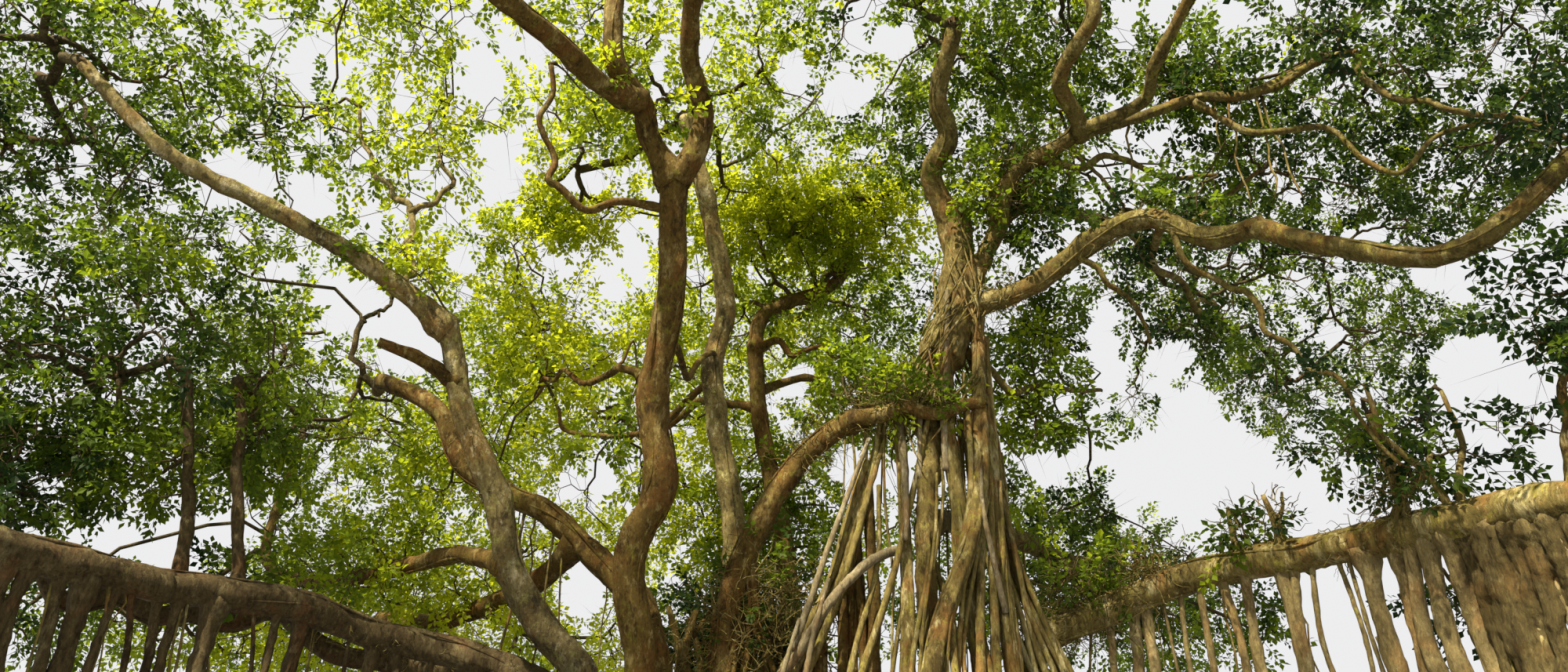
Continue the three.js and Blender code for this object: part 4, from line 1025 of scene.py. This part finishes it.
def tangled_growth(pile):
    """Fine stems that start on a limb's bark, wander off and curl back."""
    rng = seeded(47)
    for name, patches in TANGLES.items():
        limb = Limb(*LIMBS[name], 0.05)
        last = len(limb.run) - 1
        for low, high, count, reach in patches:
            for _ in range(count):
                index = np.array(rng.integers(int(low * last), int(high * last)))
                spot = limb.skin(index, np.array(rng.uniform(0, 2 * np.pi)), 0.95)
                way = unit(spot - limb.points[index]) * 0.8 + limb.heading[index] * rng.uniform(-1.2, 1.2)
                add_wanderer(pile, rng, spot, way, 0.5, 0.06, reach, 0.009)


# Thickets of fine stems away from a limb's bark: middle, half sizes, number of stems and their reach.
THICKETS = [
    ((-0.9, 0.4, 5.4), (1.2, 0.5, 1.1), 460, 0.8), ((3.2, 0.4, 5.7), (0.8, 0.4, 0.5), 160, 0.7),
    ((0.9, 0.0, 8.7), (0.8, 0.35, 0.3), 100, 0.55), ((1.2, -0.45, 8.35), (0.8, 0.25, 0.22), 120, 0.45),
    ((6.4, -2.5, 6.15), (0.35, 0.3, 0.35), 90, 0.5), ((5.2, -0.7, 6.5), (0.2, 0.2, 0.3), 22, 0.3),
    ((5.6, -1.1, 6.5), (0.25, 0.2, 0.3), 30, 0.3), ((4.3, 0.0, 6.1), (0.6, 0.3, 0.2), 110, 0.5),
    ((2.9, -0.4, 12.3), (0.7, 0.5, 0.7), 120, 0.7), ((-2.3, 0.2, 4.9), (0.5, 0.4, 0.6), 60, 0.6)
]


def thickets(pile):
    """Fine crossing stems that fill a rounded space."""
    rng = seeded(53)
    for middle, half, count, reach in THICKETS:
        for _ in range(count):
            way = unit(rng.normal(size=3))
            spot = np.array(middle) + unit(rng.normal(size=3)) * rng.uniform(0, 1) ** 0.5 * half
            add_wanderer(pile, rng, spot, way, 0.4, 0.0, reach, 0.012)


def seen(points):
    """Where points fall in the photograph's frame."""
    off = np.asarray(points, float) - EYE
    depth = np.maximum(off[..., 1] * math.cos(TILT) + off[..., 2] * math.sin(TILT), 0.1)
    rise = off[..., 2] * math.cos(TILT) - off[..., 1] * math.sin(TILT)
    return np.stack([PHOTO_SIZE[0] / 2 + PHOTO_FOCUS * off[..., 0] / depth,
                     PHOTO_SIZE[1] / 2 - PHOTO_FOCUS * rise / depth], -1)


# Open sky between the masses, as ellipses in the photograph's frame: centre, then half width and half height.
SKY_OPENINGS = {
    "right_top_of_the_gap": (1516, 532, 45, 46),
    "right_middle_of_the_gap": (1562, 590, 66, 54),
    "right_lower_gap": (1630, 622, 56, 30),
    "right_end_of_the_gap": (1700, 656, 52, 22),
    "right_of_the_trunk": (1406, 446, 20, 56),
    "right_of_the_roots": (1444, 636, 32, 24),
    "by_the_roots": (1334, 596, 32, 28),
    "right_of_the_outer_root": (1376, 588, 22, 20),
    "behind_the_slanting_root": (1080, 602, 24, 34),
    "far_right_upper": (1836, 352, 36, 24),
    "far_right_middle": (1866, 470, 46, 38),
    "far_right_lower": (1945, 494, 60, 19),
    "far_right_shoots": (1890, 560, 26, 18),
    "in_the_right_crown": (1740, 300, 32, 15),
    "in_the_right_crown_left": (1645, 250, 14, 10),
    "in_the_right_crown_low": (1700, 425, 22, 16),
    "centre_top": (1076, 122, 34, 26),
    "centre_top_left": (1012, 95, 22, 30),
    "centre_top_right": (1135, 55, 26, 22),
    "between_the_centre_limbs": (838, 95, 13, 34),
    "left_of_the_front_limb": (614, 100, 22, 44),
    "over_the_front_limb": (690, 62, 22, 20),
    "left_of_the_centre_fork": (642, 222, 28, 62),
    "by_the_centre_stem": (745, 232, 30, 20),
    "far_left_top": (385, 75, 22, 32),
    "end_of_the_long_limb": (300, 230, 50, 34),
    "over_the_long_limb": (395, 235, 26, 18),
    "under_the_long_limb": (420, 262, 24, 12),
    "left_of_the_stem": (545, 425, 38, 32),
    "left_of_the_stub": (470, 395, 62, 40),
    "over_the_stub": (590, 330, 20, 22),
    "by_the_crossing_bough": (520, 470, 24, 18),
    "by_the_rear_stem": (1020, 488, 26, 20),
    "under_the_right_bough": (1492, 452, 32, 24),
    "low_left": (742, 745, 32, 40),
    "behind_the_left_shoots": (300, 672, 34, 20),
}


def away(points):
    """How far points are from the camera."""
    return np.linalg.norm(points - EYE, axis=1)


def in_the_open(points):
    """Which points would be seen in an opening."""
    px = seen(points)
    ragged = 1 + 0.3 * ripple(np.column_stack([px, 0 * px[:, 0]]), 50, 21)
    hit = np.zeros(len(points), bool)
    for x, y, wide, high in SKY_OPENINGS.values():
        hit |= ((px[:, 0] - x) / wide) ** 2 + ((px[:, 1] - y) / high) ** 2 < ragged
    return hit


# Limbs with few leaves close in front of them: from and to which share of each.
BARE = {
    "crossing_bough": (0.22, 0.9), "left_stem_stub": (0.1, 1.0), "left_stem": (0.3, 1.0),
    "centre_stem": (0.3, 1.0), "rear_stem": (0.45, 0.8), "right_bough": (0.3, 1.0),
    "right_bough_outer": (0.0, 0.6), "leafy_side_branch": (0.0, 1.0), "behind_the_stem_branch": (0.0, 1.0),
    "upper_right_limb": (0.3, 0.62), "upper_right_arm": (0.0, 0.5), "long_right_arm": (0.2, 1.0),
}


def in_front_of_limbs(points, margin):
    """Which points hide a bare limb, with a margin in the photograph's pixels, some clumps left out."""
    px = seen(points)
    depth = away(points)
    hit = np.zeros(len(points), bool)
    for name, (low, high) in BARE.items():
        line = points_along(name, 0.15)
        line = line[int(low * (len(line) - 1)):int(high * (len(line) - 1)) + 1]
        for spot, far in zip(seen(line), away(line)):
            wide = margin + PHOTO_FOCUS * WOOD[name][1][0] / 2 / far
            hit |= ((px - spot) ** 2).sum(1) < np.where(depth < far, wide, 0) ** 2
    return hit & (ripple(points, 0.7, 27) < 1.1)


def in_clear_places(points, margin):
    """Which points may have leaves."""
    return ~in_the_open(points) & ~in_front_of_limbs(points, margin)


def spray_places():
    """Seeded places for the sprays in the leaf masses, in clumps and denser near each skin, and how much
    painted light each gets above usual, below zero painted shade."""
    rng = seeded(2)
    found = []
    for name in MASSES:
        share, shift = MASS_LOOKS[name]
        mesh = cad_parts[name].data
        skin = BVHTree.FromPolygons([v.co[:] for v in mesh.vertices], [p.vertices[:] for p in mesh.polygons])
        low, high = (np.array(corner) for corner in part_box(name))
        points = rng.uniform(low, high, (int(np.prod(high - low) * SPRAYS_PER_M3 * share), 3))
        clumps = ripple(points * (1.0, 1.0, 1.5), 1.3, 3) + 0.5 * ripple(points, 3.0, 4)
        points = points[clumps + rng.uniform(-0.4, 0.4, len(points)) > CLUMP_CUT]
        for point, luck in zip(points, rng.uniform(0, 1, len(points))):
            near, normal, _, depth = skin.find_nearest(Vector(point))
            inside = (Vector(point) - near).dot(normal) < 0 and depth > LEAST_DEPTH
            if inside and luck < (1.0 if depth < SHELL_DEPTH else CORE_SHARE):
                found.append((*point, shift))
    found = np.array(found)
    return spaced(found[in_clear_places(found[:, :3], SPRAY_MARGIN)], SPRAY_SPACING)


def spaced(points, least):
    """The points kept in turn, leaving out each that is nearer than least to one kept before."""
    cells = {}
    kept = []
    for index, point in enumerate(points[:, :3]):
        cell = tuple((point // least).astype(int))
        close = (other for dx in (-1, 0, 1) for dy in (-1, 0, 1) for dz in (-1, 0, 1)
                 for other in cells.get((cell[0] + dx, cell[1] + dy, cell[2] + dz), ()))
        if all(((other - point) ** 2).sum() >= least ** 2 for other in close):
            cells.setdefault(cell, []).append(point)
            kept.append(index)
    return points[kept]


# Extra growth, on the limbs and where the masses lie thin: middle, half sizes, number of sprays, and how much
# painted light their leaves get above usual, below zero painted shade.
TUFTS = {
    "arching_bough_foot": ((-1.0, 0.7, 5.9), (1.1, 0.6, 1.2), 60, -0.4),
    "arching_bough_top": ((0.2, 0.4, 9.0), (1.0, 0.5, 0.5), 70, -0.1),
    "arching_bough_end": ((0.9, 0.0, 8.75), (0.7, 0.3, 0.25), 24, -0.1),
    "right_bough_start": ((3.7, 0.4, 6.0), (1.0, 0.5, 0.4), 50, 0.25),
    "right_bough_back": ((5.4, -0.6, 6.25), (0.7, 0.4, 0.3), 16, 0.0),
    "stub_1": ((5.2, -0.7, 6.45), (0.4, 0.3, 0.4), 12, 0.0),
    "stub_2": ((5.6, -1.1, 6.5), (0.45, 0.3, 0.4), 13, 0.0),
    "right_bough_top": ((6.3, -1.9, 6.25), (0.7, 0.3, 0.2), 10, 0.0),
    "low_right_shoots": ((6.8, -2.9, 6.6), (0.9, 0.6, 0.6), 50, 0.0),
    "outer_shoots": ((7.5, -4.2, 6.9), (0.8, 0.6, 0.7), 50, 0.0),
    "right_bough_hanging": ((7.3, -4.9, 7.3), (0.75, 0.6, 0.9), 70, -0.2),
    "right_bough_end": ((8.3, -5.6, 9.1), (1.5, 0.8, 0.8), 110, -0.2),
    "right_bough_middle": ((4.6, -1.2, 10.9), (1.2, 0.8, 0.5), 80, 0.0),
    "upper_right": ((2.9, -0.4, 12.0), (0.9, 0.6, 1.1), 190, 0.0),
    "long_limb": ((-6.2, -1.6, 9.8), (1.0, 0.7, 0.5), 60, 0.1),
    "crossing_bough": ((-5.7, 1.5, 8.3), (1.2, 0.7, 0.9), 90, 0.2),
    "right_of_the_neck": ((3.5, 2.0, 11.0), (0.9, 0.8, 0.7), 100, 0.1),
    "under_the_far_right": ((7.2, -1.0, 7.5), (0.8, 0.6, 0.5), 34, -0.1),
    "low_left_rear": ((-8.6, 1.0, 8.0), (1.1, 0.8, 0.8), 110, -0.2),
    "leafy_side_branch": ((-4.0, 0.2, 9.3), (0.6, 0.5, 0.5), 26, 0.2),
    "low_right_end_of_the_gap": ((6.5, -1.5, 7.1), (0.8, 0.6, 0.4), 26, 0.0),
    "left_back_bough_end": ((-10.3, -2.7, 6.2), (1.0, 0.9, 0.6), 80, -0.2),
    "between_the_right_pillars": ((8.4, 0.0, 5.6), (0.8, 0.5, 0.5), 40, -0.1),
    "behind_the_right_pillars": ((7.3, 4.5, 6.6), (0.7, 0.6, 0.7), 60, 0.1),
    "left_stub": ((-6.0, -1.4, 8.6), (0.7, 0.5, 0.4), 30, 0.0),
    "drooping_bough": ((-5.4, 1.8, 6.0), (1.3, 0.7, 0.5), 60, 0.2),
    "level_bough": ((-6.6, 1.3, 6.7), (1.6, 0.8, 0.7), 110, 0.2),
    "trunk_right_side": ((3.1, 1.0, 8.7), (0.9, 0.8, 1.8), 190, 0.3),
    "rear_low_bough": ((3.9, 3.2, 7.5), (1.5, 1.0, 0.9), 120, -0.1),
    "fork": ((-2.9, -2.2, 12.2), (0.9, 0.7, 0.6), 50, 0.0),
    "centre_stem": ((-2.9, -0.3, 8.2), (0.7, 0.5, 1.2), 30, 0.0),
    "left_bough_back": ((-7.4, 0.1, 6.0), (1.4, 0.6, 0.4), 50, -0.1),
    "under_the_top": ((-0.4, 4.0, 14.6), (2.9, 1.0, 1.1), 700, 0.55),
    "under_the_left_top": ((-5.1, 3.5, 14.3), (1.6, 1.0, 0.9), 320, 0.5),
    "left_of_the_crown_right": ((5.7, -0.6, 14.2), (0.9, 0.9, 0.8), 130, 0.2),
    "right_of_the_top": ((3.4, -0.2, 14.6), (1.1, 1.0, 0.7), 60, 0.3),
    "low_behind_the_right_pillars": ((7.0, 7.6, 7.0), (1.6, 1.2, 0.9), 130, 0.3),
    "over_the_gap": ((5.9, 1.5, 10.35), (0.75, 0.6, 0.4), 75, 0.0),
    "low_behind_the_centre": ((-1.5, 6.5, 7.2), (1.6, 1.0, 1.4), 240, -0.35),
    "behind_the_arching_bough": ((-0.6, 4.4, 8.4), (1.7, 1.0, 1.4), 270, 0.0),
    "candelabra": ((-6.4, -1.0, 12.4), (1.3, 0.8, 1.2), 70, 0.3),
    "dark_behind_the_stems": ((-1.5, 2.6, 5.6), (1.3, 0.7, 1.0), 300, -1.0),
    "outer_right_rise": ((10.6, -6.9, 8.2), (0.8, 0.6, 1.2), 70, -0.1),
    "outer_left_rise": ((-12.1, -5.8, 7.0), (0.9, 0.6, 0.9), 60, -0.1),
    "behind_the_rear_stem": ((-2.3, 4.4, 8.7), (1.3, 1.0, 1.2), 180, 0.2),
    "low_far_left": ((-9.8, -1.6, 7.0), (2.0, 1.1, 0.8), 240, -0.3),
    "behind_the_left_end": ((-12.7, 3.4, 6.4), (1.7, 1.4, 0.8), 150, 0.1),
    "between_the_left_stems": ((-5.0, 3.5, 11.5), (1.5, 1.0, 1.2), 130, 0.4),
    "arching_bough_front": ((1.2, -0.5, 8.4), (0.7, 0.25, 0.2), 22, 0.0),
    "behind_the_left_pillars": ((-9.6, 4.6, 6.2), (3.2, 1.3, 0.8), 260, 0.4),
}


def tuft_places():
    """Seeded places for the extra growth, and how much painted light each gets above usual, below zero
    painted shade.
    """
    rng = seeded(8)
    found = []
    for middle, half, count, shift in TUFTS.values():
        points = middle + unit(rng.normal(size=(count, 3))) * rng.uniform(0.02, 1, (count, 1)) ** 0.45 * half
        found.append(np.column_stack([points, np.full(count, shift)]))
    found = np.vstack(found)
    return found[in_clear_places(found[:, :3], SPRAY_MARGIN)]


# The share of each limb's length from which the crown's branches may leave it.
FEEDERS = {name: 0.5 if name in LIMBS else 0.35 for name in WOOD if name in LIMBS or "stub" not in name}
FEEDERS.update({"low_left_bough": 0.6, "low_right_bough": 0.3, "centre_stem": 0.55, "left_stem": 0.6,
                "rear_stem": 0.45, "back_stem": 0.45, "arching_bough": 0.15, "level_bough": 0.3,
                "drooping_bough": 0.2, "crossing_bough": 0.4, "rear_low_bough": 0.25, "right_bough": 0.3,
                "upper_right_limb": 0.15, "right_bough_outer": 0.1, "left_shoot": 0.4})
LATE_FEEDERS = {"rear_low_bough": 1.5}  # how much farther away than it is a limb counts for the sprays


def sources():
    """Where branches start, at the feeding limbs' tips and along them: place, heading, radius, handicap."""
    starts = []
    for name, share in FEEDERS.items():
        limb = Limb(*WOOD[name], 0.3)
        last = len(limb.points) - 1
        for i in range(int(share * last), last + 1):
            if i == last or i % 2 == 0:
                size, handicap = (0.95, 0.0) if i == last else (0.62, 0.5)
                handicap += LATE_FEEDERS.get(name, 0.0)
                starts.append((limb.points[i], limb.heading[i], limb.radii[i] * size, handicap))
    return starts


class Branching:
    """Branches that divide again and again until each ends at one spray."""

    A_FEW = 7
    LONGEST_BARE = 1.4  # how far fewer sprays than a few may stand from the rest
    MOST_LEFT_OUT = 45  # fewer sprays than this are dropped rather than reached across an opening
    SHARES_CHECKED = np.array([[0.4], [0.65]])  # where on the way to them the opening is looked for
    EARLY = 0.55  # how far ahead of the sprays a branch divides, as a share of their spread
    LEAST_SHARE, MOST_SHARE = 0.25, 0.8  # of the way to the sprays that it runs before it divides
    STRAY = 0.13  # of the end of each segment, as a share of its length
    BEND = 0.35  # how far a segment keeps its parent's heading
    TAPER, NEXT = 0.9, 0.92  # of a segment's radius: at its end, and the most for the branches from there
    PARTS = (0.3, 0.7)  # of the sprays that go to the first of two branches

    def __init__(self, places, seed):
        self.places = places
        self.rng = seeded(seed)
        self.segments = []
        self.twigs = []

    def grow(self, ids, start, heading, limit):
        """Grows from start towards the sprays of ids, no thicker than limit."""
        spots = self.places[ids]
        middle = spots.mean(0)
        gap = middle - start
        far = np.linalg.norm(gap)
        if far > self.LONGEST_BARE and len(ids) < self.A_FEW:
            return
        crossing = far > 0.5 and in_the_open(start + self.SHARES_CHECKED * gap).any()
        if crossing and len(ids) < self.MOST_LEFT_OUT:
            return
        if len(ids) == 1:
            self.twigs.append((ids[0], start, heading))
            return
        thick = min(limit, TWIG_RADIUS * len(ids) ** 0.5)
        spread = np.sqrt(((spots - middle) ** 2).sum(1).mean())
        share = np.clip((far - self.EARLY * spread) / max(far, 1e-6), self.LEAST_SHARE, self.MOST_SHARE)
        goal = start + gap * share + self.rng.normal(size=3) * self.STRAY * far * share
        self.segments.append((start, heading, goal, thick, thick * self.TAPER))
        onward = unit(goal - start - self.BEND * far * share * heading)
        axis = np.linalg.svd(spots - middle, full_matrices=False)[2][0]
        along = (spots - middle) @ axis
        lower = along <= np.quantile(along, self.rng.uniform(*self.PARTS))
        if lower.all():
            lower = np.arange(len(ids)) < len(ids) // 2
        for part in (ids[lower], ids[~lower]):
            self.grow(part, goal, onward, thick * self.NEXT)


def across(along):
    """Two vectors across each heading, for many short lines at once."""
    guide = np.where(np.abs(along[..., :1, 2:]) > 0.8, (0.0, 1.0, 0.0), (0.0, 0.0, 1.0))
    side = unit(np.cross(along, guide))
    return side, np.cross(along, side)


def add_lines(pile, line, radii, sides):
    """Many tubes at once, along lines of the same number of points."""
    side, up = across(unit(np.gradient(line, axis=1)))
    ring = turned(round_angles(sides), side[:, :, None], up[:, :, None])
    faces = tube_faces(line.shape[1], sides, len(line))
    pile.add(line[:, :, None] + ring * radii[..., None, None], faces if sides > 4 else faces[:1])


def add_branches(pile, segments, sides, steps, crook=0.0):
    """Bent, tapering tubes from each segment's start to its goal."""
    start, heading, goal = (np.array([segment[k] for segment in segments]) for k in range(3))
    ends = np.array([segment[3:] for segment in segments])
    reach = np.linalg.norm(goal - start, axis=1, keepdims=True)
    turn = start + heading * reach * Branching.BEND
    t = np.linspace(0, 1, steps + 1)[None, :, None]
    line = (1 - t) ** 2 * start[:, None] + 2 * t * (1 - t) * turn[:, None] + t ** 2 * goal[:, None]
    sway = seeded(17).normal(0, crook, line.shape) * reach[:, None]
    line[:, 1:-1] += sway[:, 1:-1]
    add_lines(pile, line, ends[:, :1] + (ends[:, 1:] - ends[:, :1]) * t[..., 0], sides)


def add_twigs(pile, starts, tips):
    """Three-sided twigs that taper to a point."""
    side, up = across(unit(tips - starts)[:, None])
    ring = turned(round_angles(3), side, up)
    corners = np.concatenate([starts[:, None] + ring * TWIG_RADIUS, tips[:, None]], axis=1)
    faces = np.array([(0, 1, 3), (1, 2, 3), (2, 0, 3), (2, 1, 0)])
    pile.add(corners, [copies(faces, 4, len(tips))])


# The corners of near and of far leaves, along the leaf, to its sides and up, and their triangles.
LEAVES = {
    "near": (np.array([(0.0, 0.0, 0.0), (0.3, 0.31, 0.07), (0.7, 0.25, 0.03),
                       (1.0, 0.0, -0.1), (0.7, -0.25, 0.03), (0.3, -0.31, 0.07)]),
             np.array([(0, 1, 2), (0, 2, 3), (0, 3, 4), (0, 4, 5)])),
    "far": (np.array([(0.0, 0.0, 0.0), (0.45, 0.36, 0.08), (1.0, 0.0, -0.05), (0.45, -0.36, 0.08)]),
            np.array([(0, 1, 2), (0, 2, 3)])),
}
# Each tint: the share of all sprays, the colour that it reflects, the colour that it lets through, and how
# much goes through.
# From leaf_yellow to leaf_dark the tints are painted sunlight and painted shade on the leaves.
LEAF_TINTS = {
    "leaf_yellow": (0.13, (0.21, 0.24, 0.008), (0.7, 0.76, 0.02), 0.5),
    "leaf_bright": (0.21, (0.125, 0.165, 0.007), (0.44, 0.54, 0.018), 0.5),
    "leaf_middle": (0.23, (0.072, 0.108, 0.007), (0.23, 0.33, 0.016), 0.45),
    "leaf_olive": (0.18, (0.046, 0.074, 0.008), (0.12, 0.19, 0.014), 0.4),
    "leaf_deep": (0.14, (0.027, 0.05, 0.008), (0.055, 0.105, 0.012), 0.35),
    "leaf_dark": (0.11, (0.013, 0.028, 0.007), (0.02, 0.045, 0.01), 0.3),
}
MOST_LEAVES = 46000  # in one piece
SEARCH_BLOCKS = 40  # the sprays are looked through in as many blocks, which keeps each table small
# Painted light: the leaf tints are brightest along X at the glow's middle and fade out over its width.
GLOW_MIDDLE, GLOW_WIDTH = -4.0, 6.5  # where along X the leaves are brightest, and how far that reaches


def painted_light(places, shift):
    """How bright the leaves of each spray are painted, as painted light and shade: most behind the middle and
    the left, least at the far ends.
    """
    rng = seeded(6)
    x, y, _ = places.T
    # Painted sunlight, strongest near the middle and at the back, with painted patches and a spray-to-spray
    # spread of sun and shade.
    glow = 0.85 * np.exp(-(((x - GLOW_MIDDLE) / GLOW_WIDTH) ** 2)) + 0.1 * np.clip(y / 8, -1, 1)
    patches = 0.12 * ripple(places, 2.4, 9) + 0.1 * ripple(places, 0.8, 10)
    return glow + patches + rng.normal(0, 0.17, len(places)) + shift


def dealt_leaves(places, lines, shift):
    """Every spray's leaves, dealt into pieces by the spray's tint, which is its painted light and shade."""
    order = np.argsort(-painted_light(places, shift))
    near = away(places) < NEAR
    bounds = np.cumsum([0, *(look[0] for look in LEAF_TINTS.values())]) * len(order)
    rng = seeded(16)
    for tint, low, high in zip(LEAF_TINTS, bounds[:-1].astype(int), bounds[1:].astype(int)):
        chosen = order[low:high]
        parts = math.ceil(len(chosen) * LEAVES_PER_SPRAY / MOST_LEAVES)
        for part, group in enumerate(np.array_split(chosen, parts)):
            leaves = Pile()
            for kind, some in (("near", group[near[group]]), ("far", group[~near[group]])):
                if len(some):
                    add_leaves(leaves, places[some], lines[some], rng, *LEAVES[kind])
            yield tint, leaves.mesh(f"{tint}_{part + 1}")


def add_leaves(pile, places, lines, rng, outline, faces):
    """Leaves set round each twig by the golden angle, blades turned up to the light, none in an opening."""
    headings = unit(lines)
    number = np.arange(LEAVES_PER_SPRAY)
    along = LEAVES_FROM + (1 - LEAVES_FROM) * (number + 0.5) / LEAVES_PER_SPRAY
    side, up = (vectors[:, 0] for vectors in across(headings[:, None]))
    angle = number * GOLDEN_ANGLE + rng.uniform(0, 6.28, (len(places), 1))
    around = turned(angle, side[:, None], up[:, None])
    out = unit(around + headings[:, None] * (0.3 + along[None, :, None]) + rng.normal(0, 0.25, around.shape)
               - (0.0, 0.0, 0.3))
    foot = (places[:, None] + lines[:, None] * along[None, :, None] + around * LEAF_STALK).reshape(-1, 3)
    shown = in_clear_places(foot, LEAF_MARGIN)
    foot = foot[shown]
    out = out.reshape(-1, 3)[shown]
    lift = unit((0.0, 0.0, 1.0) + rng.normal(0, 0.6, out.shape))
    wide = unit(np.cross(lift, out))
    face = np.cross(out, wide)
    size = LEAF_LENGTH * rng.uniform(*LEAF_SIZES, (len(foot), 1, 1))
    length, width, depth = (outline[None, :, k:k + 1] for k in range(3))
    corners = foot[:, None] + size * (length * out[:, None] + width * wide[:, None] + depth * face[:, None])
    pile.add(corners, [copies(faces, len(outline), len(corners))])


def build_crown(bark, tints):
    """Branches from the limbs to the sprays, their twigs and their leaves."""
    found = np.vstack([spray_places(), tuft_places()])
    places = found[:, :3]
    starts = sources()
    spots = np.array([start[0] for start in starts])
    handicap = np.array([start[3] for start in starts])
    nearest = [(np.linalg.norm(block[:, None] - spots[None], axis=2) + handicap).argmin(1)
               for block in np.array_split(places, SEARCH_BLOCKS)]
    nearest = np.concatenate(nearest)
    branching = Branching(places, 12)
    for index in np.unique(nearest):
        spot, heading, limit, _ = starts[index]
        branching.grow(np.nonzero(nearest == index)[0], spot, heading, limit)
    kept, feet, bearing = (np.array([twig[k] for twig in branching.twigs]) for k in range(3))
    places = places[kept]
    rng = seeded(14)
    outward = unit(places - CROWN_HEART) * (1.0, 1.0, 0.4)
    headings = unit(unit(places - feet) + 0.3 * bearing + 0.4 * outward + rng.normal(0, 0.35, places.shape))
    tips = places + headings * SPRAY_LENGTH
    lines = tips - feet
    lines *= np.minimum(SPRAY_LENGTH / np.linalg.norm(lines, axis=1, keepdims=True), 1)
    segments = branching.segments
    wood = Pile()
    add_branches(wood, [s for s in segments if s[3] >= STOUT], 7, 5, 0.045)
    add_branches(wood, [s for s in segments if SLIM <= s[3] < STOUT], 4, 2, 0.06)
    piece(wood.mesh("branches"), bark)
    wood = Pile()
    add_branches(wood, [s for s in segments if s[3] < SLIM], 3, 1)
    piece(wood.mesh("side_twigs"), bark, smooth=False)
    wood = Pile()
    add_twigs(wood, feet, tips)
    piece(wood.mesh("twigs"), bark, smooth=False)
    for tint, mesh in dealt_leaves(tips - lines, lines, found[kept, 3]):
        piece(mesh, tints[tint], MASSES, smooth=False)


def build_lights_and_camera():
    """Pale floor, bright even sky, one warm sun and the camera."""
    scene = bpy.context.scene
    camera = placed("camera", bpy.data.cameras.new("camera"))
    camera.data.lens = LENS_MM
    camera.data.sensor_width = SENSOR_MM
    camera.data.clip_end = CLIP_END
    camera.location = EYE
    camera.rotation_euler = (math.radians(90) + TILT, 0.0, 0.0)
    scene.camera = camera

    world = bpy.data.worlds.new("sky")
    world.use_nodes = True
    background = world.node_tree.nodes["Background"]
    background.inputs["Color"].default_value = (0.99, 0.99, 1.0, 1.0)
    background.inputs["Strength"].default_value = SKY_STRENGTH
    scene.world = world

    sun = placed("sun", bpy.data.lights.new("sun", "SUN"))
    sun.data.energy = SUN_STRENGTH
    sun.data.angle = math.radians(1.5)
    sun.data.color = (1.0, 0.9, 0.72)
    sun.rotation_euler = (math.radians(38), 0.0, math.radians(-32))

    ground = bpy.data.meshes.new("floor")
    corners = [(x * FLOOR_HALF, y * FLOOR_HALF, 0) for x, y in ((-1, -1), (1, -1), (1, 1), (-1, 1))]
    ground.from_pydata(corners, [], [(0, 1, 2, 3)])
    floor = placed("floor", ground)
    material, _, shader = colour_material("floor_grey", 0.9)
    shader.inputs["Base Color"].default_value = (0.19, 0.195, 0.205, 1.0)
    ground.materials.append(material)
    scene.view_settings.view_transform = "Standard"


build_lights_and_camera()
barks = {name: bark_material(name + "_bark", *look) for name, look in BARKS.items()}
leaf_tints = {name: leaf_material(name, *look[1:]) for name, look in LEAF_TINTS.items()}
# The third bark, for the sunlit roots, is painted sunlight.
build_trunk(barks["trunk"], barks["root"], barks["painted_sunlight"])
build_limbs()
# The left pillars take the dark bark, which is painted shade.
build_pillars("left", barks["dark"])
build_pillars("right", barks["pillar"])
build_web(barks["shaded"])
piece(gathered("thin_roots", hanging_strands, neck_net), barks["root"])
piece(gathered("tangled_growth", tangled_growth, thickets), barks["olive"], smooth=False)
build_crown(barks["twig"], leaf_tints)
